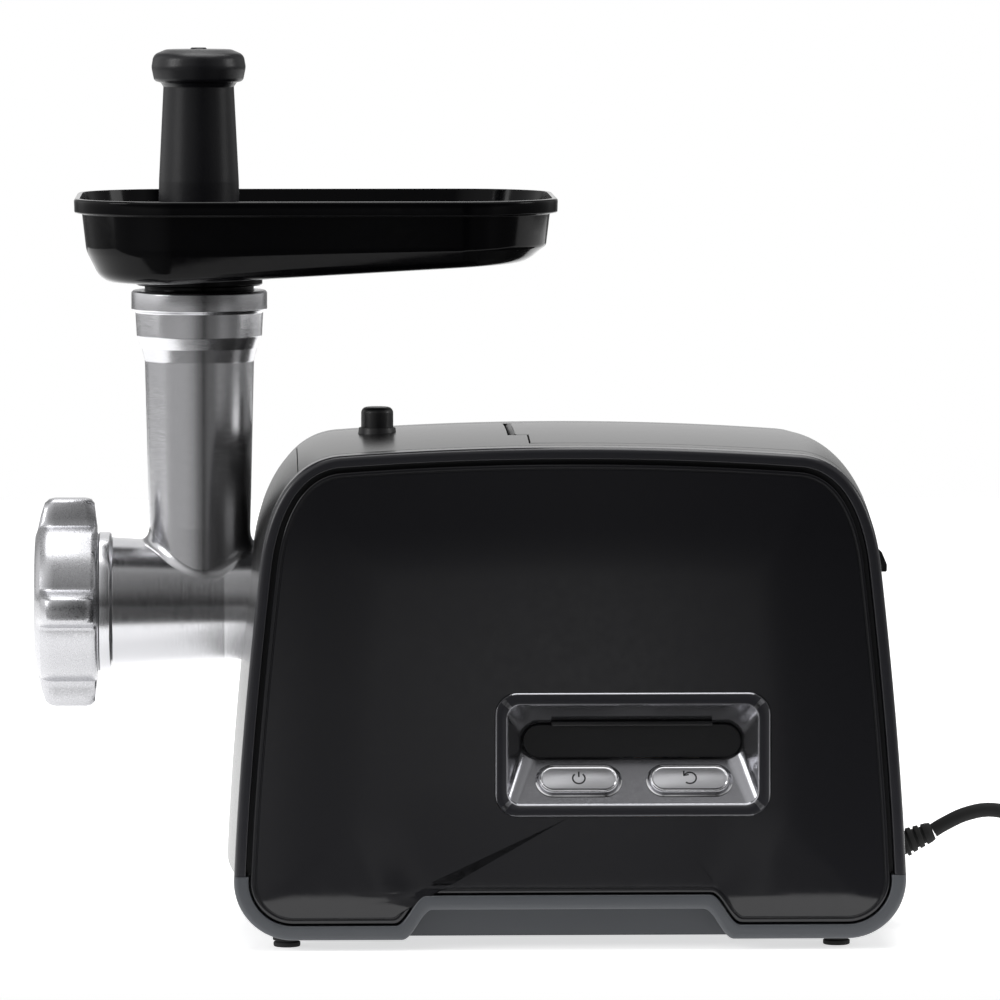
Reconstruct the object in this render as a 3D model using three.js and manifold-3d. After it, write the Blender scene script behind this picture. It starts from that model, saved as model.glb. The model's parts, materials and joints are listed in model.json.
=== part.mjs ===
// Electric meat grinder: a motor base with a two-sided glossy casing, a gear train, a detachable aluminium
// head with auger, knife, plate and ring nut, a hopper tray with its pusher, and a mains lead.
// Millimetres, +Z up, head towards -X, control side towards -Y, standing on z = 0.
import * as THREE from "three";
import { mergeVertices } from "three/addons/utils/BufferGeometryUtils.js";
import Module from "manifold-3d";

const wasm = await Module();
wasm.setup();

// ---------------------------------------------------------------- driving dimensions
const gap = 0.3; // between pieces that touch
const body = { length: 283.6, depth: 170, top: 212.5, floor: 4.5, wall: 2.5, crown: 3, corner: 25 };
const shell = {
  seam: 71, rise: 31.5, frameWidth: 5, panelInset: 7, ledge: 13, ledgeDepth: 7.5, fasciaSetback: 27.3,
};
const arch = { left: 57.2, leftRun: 13, right: 55, rightRun: 16.5, top: 23.2, band: 5.9 };
const foot = { radius: 6, frontInset: 22.4, rearInset: 28.3, sideInset: 19, stem: 2.5 };
const head = {
  axisDrop: 72, nutReach: 90.9, nutLength: 26.7, flangeLength: 5.3, flangeWall: 0.8, tubeOffset: 20.2,
  bore: 21.4, frontWall: 6.2, rearNeckWall: 3.5, mouthWall: 2.3, inside: 60, rearWall: 5,
};
const tube = {
  height: 134.1, bore: 19, wall: 2.7, flare: 1.7, bandWall: 7.8, ringWall: 10.1, seat: 11, spigot: 4.6,
};
const throat = { ledge: 28.5, step: 2.5 };
const nut = { wall: 5, lobe: 10.7, lobeWidth: 11, lobes: 4, lip: 3, lipWidth: 3.5, play: 0.5 };
const plate = { radius: 27, thickness: 5, hub: 4.4, hole: 2.6, play: 0.4 };
const auger = { play: 0.7, core: 9, pitchFront: 19, pitchRear: 23, flight: 0.7, journal: 9, drive: 6 };
const knife = { thickness: 8, setback: 2, hub: 8.5, arm: 6, square: 8, blade: 4.4 };
const tray = {
  length: 205.5, width: 148, offset: 49.9, rim: 174.7, depth: 36,
  band: 6, wall: 2.4, corner: 42, slope: 0.062,
};
const pusher = { length: 209.1, play: 1.1, neck: 15.1, cap: 20.2, capHeight: 15.5, wall: 3 };
const lid = {
  front: 16.3, halfWidth: 64, bottom: 154, tongue: 8.2, tongueHalf: 36,
  hingeRadius: 2.3, hingeDrop: 0.1, pin: 1.1, ear: 5,
};
const bin = { front: 12, rear: 92, halfWidth: 50, depth: 72, drop: 9, wall: 2, brim: 9 };
const bezel = {
  width: 115.9, height: 52.3, centreX: 26.25, centreZ: 83, round: 9.4, frame: 5.4,
  depth: 13.5, backWidth: 92.4, backHeight: 14.5, backRise: 4.5, backRound: 5.5, wall: 2,
};
const button = {
  length: 33.3, width: 12.4, rise: 2.4, spacing: 46.8, shift: 0.75, stem: 3, travel: 1.5, play: 0.4,
};
const lock = {
  setback: 56, radius: 6.9, height: 11.3, stem: 3.5, travel: 4, yoke: 5, play: 0.7,
  coilRadius: 4.4, wire: 0.6, turns: 5, springHeight: 16,
};
const socket = { clearance: 0.4, wall: 4, flange: 36, setback: 10 };
const gears = { pressure: 25, addendum: 0.8, dedendum: 1.05, backlash: 0.08 };
const stages = [
  { module: 1.5, wheel: 48, pinion: 12, width: 12, angle: -105 },
  { module: 1.0, wheel: 40, pinion: 10, width: 9, angle: -35 },
  { module: 0.8, wheel: 40, pinion: 10, width: 7, angle: -20 },
];
const gearbox = { front: 66, wall: 3, layerGap: 2, play: 2.5, hub: 12, bush: 3 };
const motor = {
  radius: 17.5, length: 42, air: 0.7, frame: 30, shaft: 3, bearing: 7.5, fit: 0.1,
  rearBracket: 22, fan: 27, tail: 36,
};
const cordSize = { diameter: 6.2, coilRadius: 34, coilX: 142, coilY: 37.1, lift: 1.1, plugSetback: 23 };
const relief = { tilt: 22, length: 15, height: 34, neck: 5 };

const half = body.length / 2;
const axisZ = body.top - head.axisDrop;

// ---------------------------------------------------------------- geometry helpers
const rad = THREE.MathUtils.degToRad;
const v2 = (x, y) => new THREE.Vector2(x, y);
const v3 = (x, y, z) => new THREE.Vector3(x, y, z);

function solidOf(geometry) {
  const bare = (geometry.index ? geometry.toNonIndexed() : geometry.clone()).deleteAttribute("normal");
  bare.deleteAttribute("uv");
  const merged = mergeVertices(bare, 1e-4);
  const mesh = { numProp: 3, vertProperties: merged.attributes.position.array };
  return new wasm.Manifold(new wasm.Mesh({ ...mesh, triVerts: new Uint32Array(merged.index.array) }));
}

function geometryOf(solid) {
  const mesh = solid.getMesh();
  const geometry = new THREE.BufferGeometry();
  geometry.setAttribute("position", new THREE.BufferAttribute(mesh.vertProperties, 3));
  return geometry.setIndex(new THREE.BufferAttribute(mesh.triVerts, 1));
}

const join = (...pieces) => pieces.reduce((a, b) => a.add(b));
const cut = (base, ...tools) => tools.reduce((a, b) => a.subtract(b), base);

// A box from its lowest to its highest corner.
function block(x0, y0, z0, x1, y1, z1) {
  const box = new THREE.BoxGeometry(x1 - x0, y1 - y0, z1 - z0);
  return solidOf(box.translate((x0 + x1) / 2, (y0 + y1) / 2, (z0 + z1) / 2));
}

const AXES = {
  x: new THREE.Matrix4().makeBasis(v3(0, 1, 0), v3(0, 0, 1), v3(1, 0, 0)),
  y: new THREE.Matrix4().makeBasis(v3(1, 0, 0), v3(0, 0, 1), v3(0, -1, 0)),
  z: new THREE.Matrix4(),
};

// A flat outline extruded along an axis; the outline's plane is YZ for x, XZ for y and XY for z.
function prism(axis, outline, from, to) {
  const shape = outline instanceof THREE.Shape ? outline : new THREE.Shape(outline);
  const geometry = new THREE.ExtrudeGeometry(shape, { depth: to - from, bevelEnabled: false });
  geometry.applyMatrix4(AXES[axis]);
  if (axis === "x") geometry.translate(from, 0, 0);
  if (axis === "y") geometry.translate(0, to, 0);
  if (axis === "z") geometry.translate(0, 0, from);
  return solidOf(geometry);
}

// A round profile of [radius, height] pairs turned about an axis through `at`.
function turned(axis, profile, at, segments = 32) {
  const lathe = new THREE.LatheGeometry(profile.map(([r, h]) => v2(r, h)), segments);
  if (axis === "z") lathe.rotateX(Math.PI / 2);
  if (axis === "x") lathe.rotateZ(-Math.PI / 2);
  const solid = solidOf(lathe.translate(at.x, at.y, at.z));
  return solid.volume() < 0 ? flipped(lathe) : solid;
}

function flipped(geometry) {
  const plain = geometry.index ? geometry.toNonIndexed() : geometry;
  const p = plain.attributes.position;
  for (let i = 0; i < p.count; i += 3) {
    const [a, b] = [v3().fromBufferAttribute(p, i), v3().fromBufferAttribute(p, i + 1)];
    p.setXYZ(i, b.x, b.y, b.z);
    p.setXYZ(i + 1, a.x, a.y, a.z);
  }
  return solidOf(plain);
}

const rod = (axis, radius, from, to, at, segments = 18) =>
  turned(axis, [[0, from], [radius, from], [radius, to], [0, to]], at, segments);

const ringRod = (axis, inner, outer, from, to, at, segments = 22) =>
  turned(axis, [[inner, from], [outer, from], [outer, to], [inner, to], [inner, from]], at, segments);

// A skin over rings of equally many points; its ends are capped from their centres, or joined without them.
function loft(rings, centres) {
  const count = rings[0].length;
  const points = rings.flat();
  const faces = [];
  const last = centres ? rings.length - 1 : rings.length;
  for (let r = 0; r < last; r++) {
    for (let i = 0; i < count; i++) {
      const [a, b] = [r * count + i, r * count + ((i + 1) % count)];
      const up = (((r + 1) % rings.length) - r) * count;
      faces.push([a, b, b + up], [a, b + up, a + up]);
    }
  }
  if (centres) {
    const [first, end] = [points.length, points.length + 1];
    points.push(...centres);
    for (let i = 0; i < count; i++) {
      const top = (rings.length - 1) * count;
      faces.push([first, (i + 1) % count, i], [end, top + i, top + ((i + 1) % count)]);
    }
  }
  const geometry = new THREE.BufferGeometry().setFromPoints(faces.flat().map((i) => points[i]));
  const solid = solidOf(geometry);
  return solid.volume() < 0 ? flipped(geometry) : solid;
}

function circlePoints(radius, count, turn = 0) {
  const at = (i) => turn + (i / count) * 2 * Math.PI;
  return Array.from({ length: count }, (_, i) => v2(radius * Math.cos(at(i)), radius * Math.sin(at(i))));
}

function roundedRect(width, height, radius, steps = 5, cx = 0, cy = 0) {
  const points = [];
  const [w, h] = [width / 2 - radius, height / 2 - radius];
  [[w, h], [-w, h], [-w, -h], [w, -h]].forEach(([x, y], corner) => {
    for (let i = 0; i <= steps; i++) {
      const a = ((corner + i / steps) * Math.PI) / 2;
      points.push(v2(cx + x + radius * Math.cos(a), cy + y + radius * Math.sin(a)));
    }
  });
  return points;
}

const shifted = (points, x, y) => points.map((p) => v2(p.x + x, p.y + y));
const shapeWithHoles = (outer, holes) => {
  const shape = new THREE.Shape(outer);
  shape.holes = holes.map((h) => new THREE.Path(h));
  return shape;
};

// ---------------------------------------------------------------- the casing's side outline
// Half of it, from the middle of the bottom to the middle of the top, and then its mirror image.
function outline(inset = 0) {
  const path = new THREE.Path();
  const [cornerTop, shoulder] = [body.top - 49.5, body.top - 3.5];
  path.moveTo(0, body.floor).lineTo(half - body.corner, body.floor);
  path.absarc(half - body.corner, body.floor + body.corner, body.corner, -Math.PI / 2, 0, false);
  path.quadraticCurveTo(half - 2.2, (body.floor + cornerTop) / 2, half - 11.3, cornerTop);
  path.bezierCurveTo(half - 13.8, body.top - 28.5, half - 22.8, body.top - 5.5, half - 44.8, shoulder);
  path.quadraticCurveTo((half - 44.8) / 2, body.top, 0, body.top);
  const right = path.getPoints(5).filter((p, i, all) => i === 0 || p.distanceTo(all[i - 1]) > 0.01);
  const left = right.slice(1, -1).reverse().map((p) => v2(-p.x, p.y));
  const points = [...right, ...left];
  return points.map((p, i) => {
    const before = points[(i + points.length - 1) % points.length];
    const along = points[(i + 1) % points.length].clone().sub(before).normalize();
    return v2(p.x - along.y * inset, p.y + along.x * inset);
  });
}

function halfWidthAt(z) {
  const side = outline().filter((p) => p.x > 0);
  const i = side.findIndex((p, k) => k > 0 && side[k - 1].y <= z && p.y > z);
  const [low, high] = [side[i - 1], side[i]];
  return low.x + ((z - low.y) / (high.y - low.y)) * (high.x - low.x);
}

// A closed section of [inset, y] pairs carried round the outline.
function band(section) {
  return loft(section.map(([inset, y]) => outline(inset).map((p) => v3(p.x, y, p.y))));
}

const slab = (inset, from, to) => prism("y", outline(inset), from, to);
const BIG = 600;
const above = (z) => block(-BIG, -BIG, z, BIG, BIG, BIG);
const below = (z) => block(-BIG, -BIG, -BIG, BIG, BIG, z);
const ahead = (x) => block(-BIG, -BIG, -BIG, x, BIG, BIG);
const behind = (x) => block(x, -BIG, -BIG, BIG, BIG, BIG);

const frontX = -halfWidthAt(axisZ) - body.crown; // the fascia at the head's axis
const tubeX = frontX - head.tubeOffset;
const barrelRear = frontX + head.inside;
const neckRear = head.bore + head.rearNeckWall;
const mouthRadius = plate.radius + head.mouthWall;
const tubeRing = tube.bore + tube.ringWall;
const nutFront = frontX - head.nutReach;
const nutRear = nutFront + head.nutLength;
const plateRear = nutFront + nut.lip + gap + plate.thickness;
const lockX = frontX + lock.setback;
const onAxis = v3(0, 0, axisZ);

// ---------------------------------------------------------------- casing
// The middle skin: fascia, top and rear are cut from one crowned band between the two side frames.
function middleSkin() {
  const edge = shell.seam - gap;
  const crown = (y) => [-body.crown * (1 - (y / edge) ** 2), y];
  const across = [-1, -0.66, -0.33, 0, 0.33, 0.66, 1].map((t) => crown(t * edge));
  return band([...across, [body.wall, edge], [body.wall, -edge]]).intersect(above(shell.rise + gap));
}

const middle = middleSkin();
const fasciaX = -(half - shell.fasciaSetback);

function frontFascia() {
  const opening = rod("x", neckRear + 1, frontX - 10, frontX + 20, onAxis, 36);
  return cut(middle.intersect(ahead(fasciaX - gap / 2)), opening);
}

// The lid's outline, grown by `grow`, as a block through the top and rear skin.
function lidVolume(grow) {
  const side = lid.halfWidth + grow;
  const main = block(-lid.front - grow, -side, lid.bottom - grow, BIG, side, BIG);
  const tongueHalf = lid.tongueHalf + grow;
  return join(main, block(-lid.front - lid.tongue - grow, -tongueHalf, body.top - 30, 0, tongueHalf, BIG));
}

const hinge = v3(-lid.front - lid.tongue + lid.hingeRadius + 0.4, 0, body.top - lid.hingeDrop);

function topCover() {
  const buttonHole = rod("z", lock.radius + lock.play, -40, 40, v3(lockX, 0, body.top), 32);
  const skin = middle.intersect(behind(fasciaX + gap / 2)).intersect(above(lid.bottom));
  const ears = [-1, 1].map((side) => {
    const [a, b] = [side * (lid.tongueHalf + gap), side * (lid.tongueHalf + lid.ear + 1)];
    const low = hinge.z - 4;
    return block(hinge.x - 7, Math.min(a, b), low, hinge.x + 3, Math.max(a, b), body.top - body.wall + 2);
  });
  const pin = rod("y", lid.pin + 0.15, -60, 60, hinge, 12);
  return cut(join(cut(skin, lidVolume(2 * gap)), ...ears), pin, buttonHole);
}

function storageLid() {
  const skin = middle.intersect(lidVolume(0)).intersect(behind(hinge.x));
  const knuckle = rod("y", lid.hingeRadius, -lid.tongueHalf, lid.tongueHalf, hinge, 16);
  const grip = (x, z) => v2(halfWidthAt(lid.bottom) + body.crown + x, lid.bottom + z);
  const lipShape = [grip(-3, 0.5), grip(3.4, 0.5), grip(3.4, 3.5), grip(1.2, 9), grip(-3, 12)];
  const lip = prism("y", lipShape, -22, 22);
  const hollow = rod("y", lid.pin + 0.15, -60, 60, hinge, 12);
  return cut(join(skin, knuckle, lip), hollow);
}

const lidHingePin = () => rod("y", lid.pin, -lid.tongueHalf - lid.ear, lid.tongueHalf + lid.ear, hinge, 12);

function rearCover() {
  const skin = middle.intersect(behind(0)).intersect(below(lid.bottom - gap));
  const slots = Array.from({ length: 8 }, (_, i) => {
    const z = 78 + i * 7.5;
    return prism("x", roundedRect(64, 3.2, 1.5, 2, 0, z), half - 40, half + 20);
  });
  return cut(skin, ...slots, reliefChannel());
}

function sideFrame(side) {
  const w = shell.frameWidth;
  const depth = body.depth / 2;
  const ledgeY = depth - shell.ledgeDepth;
  const section = [[0, shell.seam], [0, depth - 6.5], [1.2, depth - 3], [3, depth - 1], [w, depth - 0.3]];
  section.push([w, ledgeY], [shell.ledge, ledgeY], [shell.ledge, shell.seam]);
  return band(section.map(([inset, y]) => [inset, side * y])).intersect(above(shell.rise + gap));
}

// The finger arch under each side; `grow` raises it by the trim band above it.
function archShape(grow) {
  const top = arch.top - arch.band + grow;
  const [start, lift] = [body.floor + grow * 0.3, grow * 0.4];
  const halfArch = (run) => {
    const points = [v2(run + lift, body.floor - 10)];
    for (let i = 0; i <= 4; i++) {
      const share = (1 - Math.cos((i / 4) * Math.PI)) / 2;
      points.push(v2((run + lift) * (1 - i / 4), start + (top - start) * share));
    }
    return points;
  };
  const left = halfArch(arch.leftRun).map((p) => v2(-arch.left - p.x, p.y));
  return [...left, ...halfArch(arch.rightRun).toReversed().map((p) => v2(arch.right + p.x, p.y))];
}

function sidePanel(side) {
  const depth = body.depth / 2;
  const inner = depth - shell.ledgeDepth + gap;
  const [a, b] = side < 0 ? [-depth, -inner] : [inner, depth];
  const [c, d] = side < 0 ? [-depth + body.wall, -inner + 1] : [inner - 1, depth - body.wall];
  const archCut = prism("y", archShape(arch.band + gap), -BIG, BIG);
  const archCore = prism("y", archShape(arch.band + gap + body.wall), -BIG, BIG);
  const pan = cut(slab(shell.panelInset, a, b), archCut);
  const core = cut(slab(shell.panelInset + body.wall, c, d), archCore);
  const panel = cut(pan, core);
  return side < 0 ? cut(panel, bezelPocket()) : panel;
}

function base() {
  const depth = body.depth / 2;
  const low = below(shell.rise);
  const skinHalf = depth - shell.ledgeDepth;
  const wallY = shell.seam - 1;
  const tub = cut(slab(0, -skinHalf, skinHalf), slab(body.wall, -BIG, BIG));
  const skirts = [-1, 1].map((side) => {
    const [a, b] = side < 0 ? [-depth + 0.4, -skinHalf + 1] : [skinHalf - 1, depth - 0.4];
    const window = cut(slab(shell.panelInset - gap, -BIG, BIG), prism("y", archShape(arch.band), -BIG, BIG));
    return cut(slab(0, a, b), window);
  });
  const walls = [-1, 1].map((side) => {
    const [a, b] = side < 0 ? [-wallY, -wallY + body.wall] : [wallY - body.wall, wallY];
    return cut(slab(1, a, b), above(arch.top + 4));
  });
  const voids = [-1, 1].map((side) => {
    const [a, b] = side < 0 ? [-BIG, -wallY - gap / 2] : [wallY + gap / 2, BIG];
    return prism("y", archShape(0), a, b);
  });
  const shelves = [-1, 1].map((side) => {
    const [a, b] = side < 0 ? [-skinHalf, -wallY + 1] : [wallY - 1, skinHalf];
    const web = cut(prism("y", archShape(arch.band), a, b), prism("y", archShape(0), -BIG, BIG));
    return web.intersect(slab(0, -BIG, BIG));
  });
  const all = join(tub, ...skirts, ...walls, ...shelves).intersect(low);
  const stems = feetAt().map((p) => rod("z", foot.stem + 0.2, 0, 20, v3(p.x, p.y, 0), 16));
  return cut(all, ...voids, ...stems, reliefChannel());
}

// The feet's centres, near and then far, at the front and then at the rear.
function feetAt() {
  const footY = body.depth / 2 - foot.sideInset;
  return [foot.frontInset - half, half - foot.rearInset].flatMap((x) => [v3(x, -footY, 0), v3(x, footY, 0)]);
}

function footPad(at) {
  const top = body.floor - gap;
  const r = foot.radius;
  const stemTop = body.floor + 5;
  const pad = [[0, 0], [r - 0.6, 0], [r, 0.7], [r, top]];
  const rim = [...pad, [foot.stem, top], [foot.stem, stemTop], [0, stemTop]];
  return turned("z", rim, at, 16);
}

// ---------------------------------------------------------------- control recess
const rampBottom = () => bezel.centreZ - bezel.height / 2 + bezel.frame;
const backCentreZ = bezel.centreZ + bezel.backRise;

function recessRings(grow, front, back) {
  const innerWidth = bezel.width - 2 * bezel.frame;
  const innerHeight = bezel.height - 2 * bezel.frame;
  const ring = (w, h, r, z, y) =>
    roundedRect(w + 2 * grow, h + 2 * grow, r + grow, 4, bezel.centreX, z).map((p) => v3(p.x, y, p.y));
  const rings = [
    ring(innerWidth, innerHeight, bezel.backRound, bezel.centreZ, front),
    ring(bezel.backWidth, bezel.backHeight, bezel.backRound, backCentreZ, back),
  ];
  const centre = (z, y) => v3(bezel.centreX, y, z);
  return loft(rings, [centre(bezel.centreZ, front), centre(backCentreZ, back)]);
}

const faceY = -body.depth / 2;
const backY = faceY + bezel.depth;

function bezelPocket() {
  const [width, height] = [bezel.width + 2 * gap, bezel.height + 2 * gap];
  const hole = roundedRect(width, height, bezel.round, 4, bezel.centreX, bezel.centreZ);
  return prism("y", hole, faceY - 10, faceY + 20);
}

// The lower wall of the recess is a ramp that carries the buttons: its middle, slope and outward normal.
function rampFrame() {
  const low = v3(0, faceY, rampBottom());
  const high = v3(0, backY, backCentreZ - bezel.backHeight / 2);
  const along = high.clone().sub(low).normalize();
  const normal = v3(0, -along.z, along.y);
  return { middle: low.clone().add(high).multiplyScalar(0.5), along, normal };
}

const buttonX = (which) => bezel.centreX + button.shift + ((which === "power" ? -1 : 1) * button.spacing) / 2;

// A pill standing on the ramp: `from` and `to` are heights along the ramp's normal.
function onRamp(which, width, length, from, to, steps = 5) {
  const { middle: m, along, normal } = rampFrame();
  const shape = new THREE.Shape(roundedRect(length, width, width / 2 - 0.01, steps));
  const geometry = new THREE.ExtrudeGeometry(shape, { depth: to - from, bevelEnabled: false });
  const place = new THREE.Matrix4().makeBasis(v3(1, 0, 0), along, v3(0, -along.z, along.y));
  const foot = v3(buttonX(which), m.y, m.z).addScaledVector(normal, from);
  return solidOf(geometry.applyMatrix4(place.setPosition(foot)));
}

function controlBezel() {
  const rim = roundedRect(bezel.width, bezel.height, bezel.round - gap, 4, bezel.centreX, bezel.centreZ);
  const flange = prism("y", rim, faceY, faceY + 2.5);
  const cup = recessRings(bezel.wall, faceY + 0.5, backY + bezel.wall);
  const play = 2 * button.play;
  const holes = ["power", "reverse"].map((w) => onRamp(w, button.width + play, button.length + play, -8, 8));
  return cut(join(flange, cup), recessRings(0, faceY - 0.05, backY), ...holes);
}

function pushButton(which) {
  const cap = onRamp(which, button.width, button.length, -1.5, button.rise);
  const stem = onRamp(which, button.stem * 2, button.stem * 2.1, -7, 0, 3);
  return join(cap, stem);
}

function microSwitch(which) {
  const { middle: m, normal } = rampFrame();
  const far = v3(buttonX(which), m.y, m.z).addScaledVector(normal, -8 - button.travel);
  return block(far.x - 9, far.y + 1, far.z - 11, far.x + 9, far.y + 13, far.z + 2);
}

function controlBoard() {
  const [x0, x1] = [bezel.centreX - 46, bezel.centreX + 46];
  const y = backY + bezel.wall + 3;
  const z = backCentreZ + 12;
  const board = block(x0, y, z, x1, y + 1.6, z + 34);
  const relay = block(x0 + 10, y + 1, z + 8, x0 + 28, y + 14, z + 22);
  const capacitor = rod("y", 5, y + 1, y + 13, v3(x0 + 50, 0, z + 15), 12);
  const heatSink = block(x0 + 66, y + 1, z + 6, x0 + 84, y + 10, z + 26);
  return join(board, relay, capacitor, heatSink);
}

// ---------------------------------------------------------------- lock
const lockTop = body.top + body.crown - 2.3;
const socketOuter = neckRear + socket.clearance + socket.wall;
const yokeInner = socketOuter + lock.travel + 1.5;
const springFoot = axisZ + socketOuter + gap;
const bridge = { low: springFoot + lock.springHeight + gap, thickness: 4.5, half: 11, window: 7.5 };

function lockButton() {
  const [low, high] = [lockTop - 9, lockTop + lock.height];
  const r = lock.radius;
  const stemEnd = bridge.low + 2;
  const profile = [[0, stemEnd], [lock.stem, stemEnd], [lock.stem, low], [r, low], [r, high - 2.4]];
  profile.push([r - 0.5, high - 1.1], [r - 1.8, high - 0.2], [0, high]);
  return turned("z", profile, v3(lockX, 0, 0), 24);
}

// A ring round the socket with a bridge over the spring and, at the bottom, the tooth that holds the
// head's collar; pressing the button moves it all down.
function lockYoke() {
  const ring = ringRod("x", yokeInner, yokeInner + lock.yoke, lockX - 2, lockX + 2, onAxis, 24);
  const toothTop = axisZ - neckRear - 0.6;
  const tooth = block(lockX - 2, -4, axisZ - yokeInner - 2, lockX + 2, 4, toothTop);
  const top = bridge.low + bridge.thickness;
  const arms = block(lockX - 5.5, -bridge.half, axisZ + yokeInner + 1, lockX + 5.5, bridge.half, top);
  const window = block(lockX - 10, -bridge.window, axisZ, lockX + 10, bridge.window, bridge.low);
  const stem = rod("z", lock.stem + gap, bridge.low + 2 - gap, top + 10, v3(lockX, 0, 0), 20);
  return cut(join(ring, tooth, arms), window, stem);
}

// It stands on the socket and pushes the bridge up.
function lockSpring() {
  const steps = lock.turns * 7;
  const points = Array.from({ length: steps + 1 }, (_, i) => {
    const a = (i / 7) * 2 * Math.PI;
    const z = springFoot + lock.wire + ((lock.springHeight - 2 * lock.wire) * i) / steps;
    return v3(lockX + lock.coilRadius * Math.cos(a), lock.coilRadius * Math.sin(a), z);
  });
  return tubeAlong(points, lock.wire, 5, steps);
}

// ---------------------------------------------------------------- tubes
function tubeAlong(points, radius, sides, steps) {
  const shape = new THREE.Shape(circlePoints(radius, sides));
  const path = new THREE.CatmullRomCurve3(points, false, "centripetal");
  return solidOf(new THREE.ExtrudeGeometry(shape, { extrudePath: path, steps, bevelEnabled: false }));
}

// ---------------------------------------------------------------- head
function headSocket() {
  const inner = neckRear + socket.clearance;
  const [x0, x1] = [frontX + socket.setback, frontX + gearbox.front - gap];
  const sleeve = ringRod("x", inner, socketOuter, x0, x1, onAxis, 28);
  const flange = ringRod("x", inner, socket.flange, x1 - 4, x1, onAxis, 28);
  const slot = block(lockX - 2.5, -5, axisZ - 60, lockX + 2.5, 5, axisZ);
  return cut(join(sleeve, flange), slot);
}

function headBarrel() {
  const mouthFront = plateRear - plate.thickness / 2;
  const flangeFront = nutRear + 0.8;
  const flangeRear = flangeFront + head.flangeLength;
  const seat = plateRear + knife.thickness + gap;
  const flange = mouthRadius + head.flangeWall;
  const outside = [
    [0, mouthFront], [mouthRadius, mouthFront], [mouthRadius, flangeFront], [flange, flangeFront],
    [flange, flangeRear], [head.bore + head.frontWall, flangeRear], [neckRear + 0.1, frontX - 6],
    [neckRear, barrelRear], [0, barrelRear],
  ];
  const barrel = turned("x", outside, onAxis, 36);
  const z = (h) => axisZ + h;
  const high = (drop) => z(tube.height - drop);
  const low = tube.bore + tube.wall;
  const flared = low + tube.flare;
  const bandRadius = tube.bore + tube.bandWall;
  const profile = [
    [0, z(8)], [low, z(8)], [low, z(31)], [flared, high(30)], [flared + 1.2, high(25)],
    [bandRadius, high(20)], [bandRadius, high(10)], [tubeRing, high(8)], [tubeRing, high(1)],
    [tubeRing - 1, high(0)], [0, high(0)],
  ];
  const feed = turned("z", profile, v3(tubeX, 0, 0), 32);
  const bores = [
    rod("x", head.bore, mouthFront - 5, barrelRear - head.rearWall, onAxis, 28),
    rod("x", plate.radius + plate.play, mouthFront - 5, seat, onAxis, 28),
    rod("x", auger.journal + plate.play, barrelRear - 20, barrelRear + 5, onAxis, 20),
    rod("z", tube.bore - throat.step, z(0), z(40), v3(tubeX, 0, 0), 24),
    rod("z", tube.bore, z(throat.ledge), high(-5), v3(tubeX, 0, 0), 24),
    rod("z", spigotOuter + gap, high(tube.seat), high(-5), v3(tubeX, 0, 0), 24),
  ];
  return cut(join(barrel, feed), ...bores);
}

// A regular outline about the head's axis, for prisms along X.
const aroundAxis = (radius, sides, turn = 0) => shifted(circlePoints(radius, sides, turn), 0, axisZ);
const squareRadius = (side) => side / Math.SQRT2;

// The screw: one flight on a core, lofted through turned sections whose pitch grows towards the rear.
function augerScrew() {
  const front = plateRear + knife.thickness + 2 * gap;
  const rear = barrelRear - head.rearWall - 1;
  const flightRadius = head.bore - auger.play;
  const [sides, steps] = [14, 32];
  const rings = [];
  for (let s = 0; s <= steps; s++) {
    const share = s / steps;
    const x = front + (rear - front) * share;
    const pitch = auger.pitchFront + (auger.pitchRear - auger.pitchFront) * share;
    const turn = (2 * Math.PI * (x - front)) / pitch;
    const ring = Array.from({ length: sides }, (_, i) => {
      const a = (i / sides) * 2 * Math.PI;
      const r = Math.abs(a - Math.PI) < auger.flight ? flightRadius : auger.core;
      return v3(x, r * Math.cos(a + turn), axisZ + r * Math.sin(a + turn));
    });
    rings.push(ring);
  }
  const screw = loft(rings, [v3(front, 0, axisZ), v3(rear, 0, axisZ)]);
  const noseStart = front - knife.thickness - gap;
  const nose = prism("x", aroundAxis(squareRadius(knife.square), 4, Math.PI / 4), noseStart, front + 1);
  const pin = rod("x", plate.hub - 0.5, front - knife.thickness - plate.thickness, front + 1, onAxis, 16);
  const journal = rod("x", auger.journal, rear - 1, rear + head.rearWall + 3, onAxis, 24);
  const drive = prism("x", aroundAxis(auger.drive, 6), rear, frontX + gearbox.front + 12);
  return join(screw, nose, pin, journal, drive);
}

function knifeBlade() {
  const front = plateRear + 2 * gap;
  const reach = plate.radius - knife.setback;
  const arms = [];
  for (let i = 0; i < 4; i++) {
    const a = (i * Math.PI) / 2;
    const spin = (x, y) => v2(x * Math.cos(a) - y * Math.sin(a), axisZ + x * Math.sin(a) + y * Math.cos(a));
    const blade = [spin(0, -4), spin(reach, -1.5), spin(reach, knife.arm), spin(0, knife.arm)];
    arms.push(prism("x", blade, front, front + knife.blade));
  }
  const hub = rod("x", knife.hub, front, front + knife.thickness - gap, onAxis, 24);
  const square = aroundAxis(squareRadius(knife.square + 2 * gap), 4, Math.PI / 4);
  const hole = prism("x", square, front - 1, front + 20);
  return cut(join(hub, ...arms), hole);
}

// Holes on rings: [ring radius, count] pairs.
function cuttingPlate(rings, hole, sides) {
  const ringOf = ([r, n]) => circlePoints(r, n, r).map((p) => shifted(circlePoints(hole, sides), p.x, p.y));
  const holes = rings.flatMap(ringOf);
  return shapeWithHoles(circlePoints(plate.radius, 32), [...holes, circlePoints(plate.hub, 12)]);
}

function workingPlate() {
  const front = nutFront + nut.lip + gap;
  const shape = cuttingPlate([[11.5, 8], [20.5, 14]], plate.hole, 5);
  const solid = prism("x", shape, front, front + plate.thickness);
  return solid.translate([0, 0, axisZ]);
}

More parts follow.
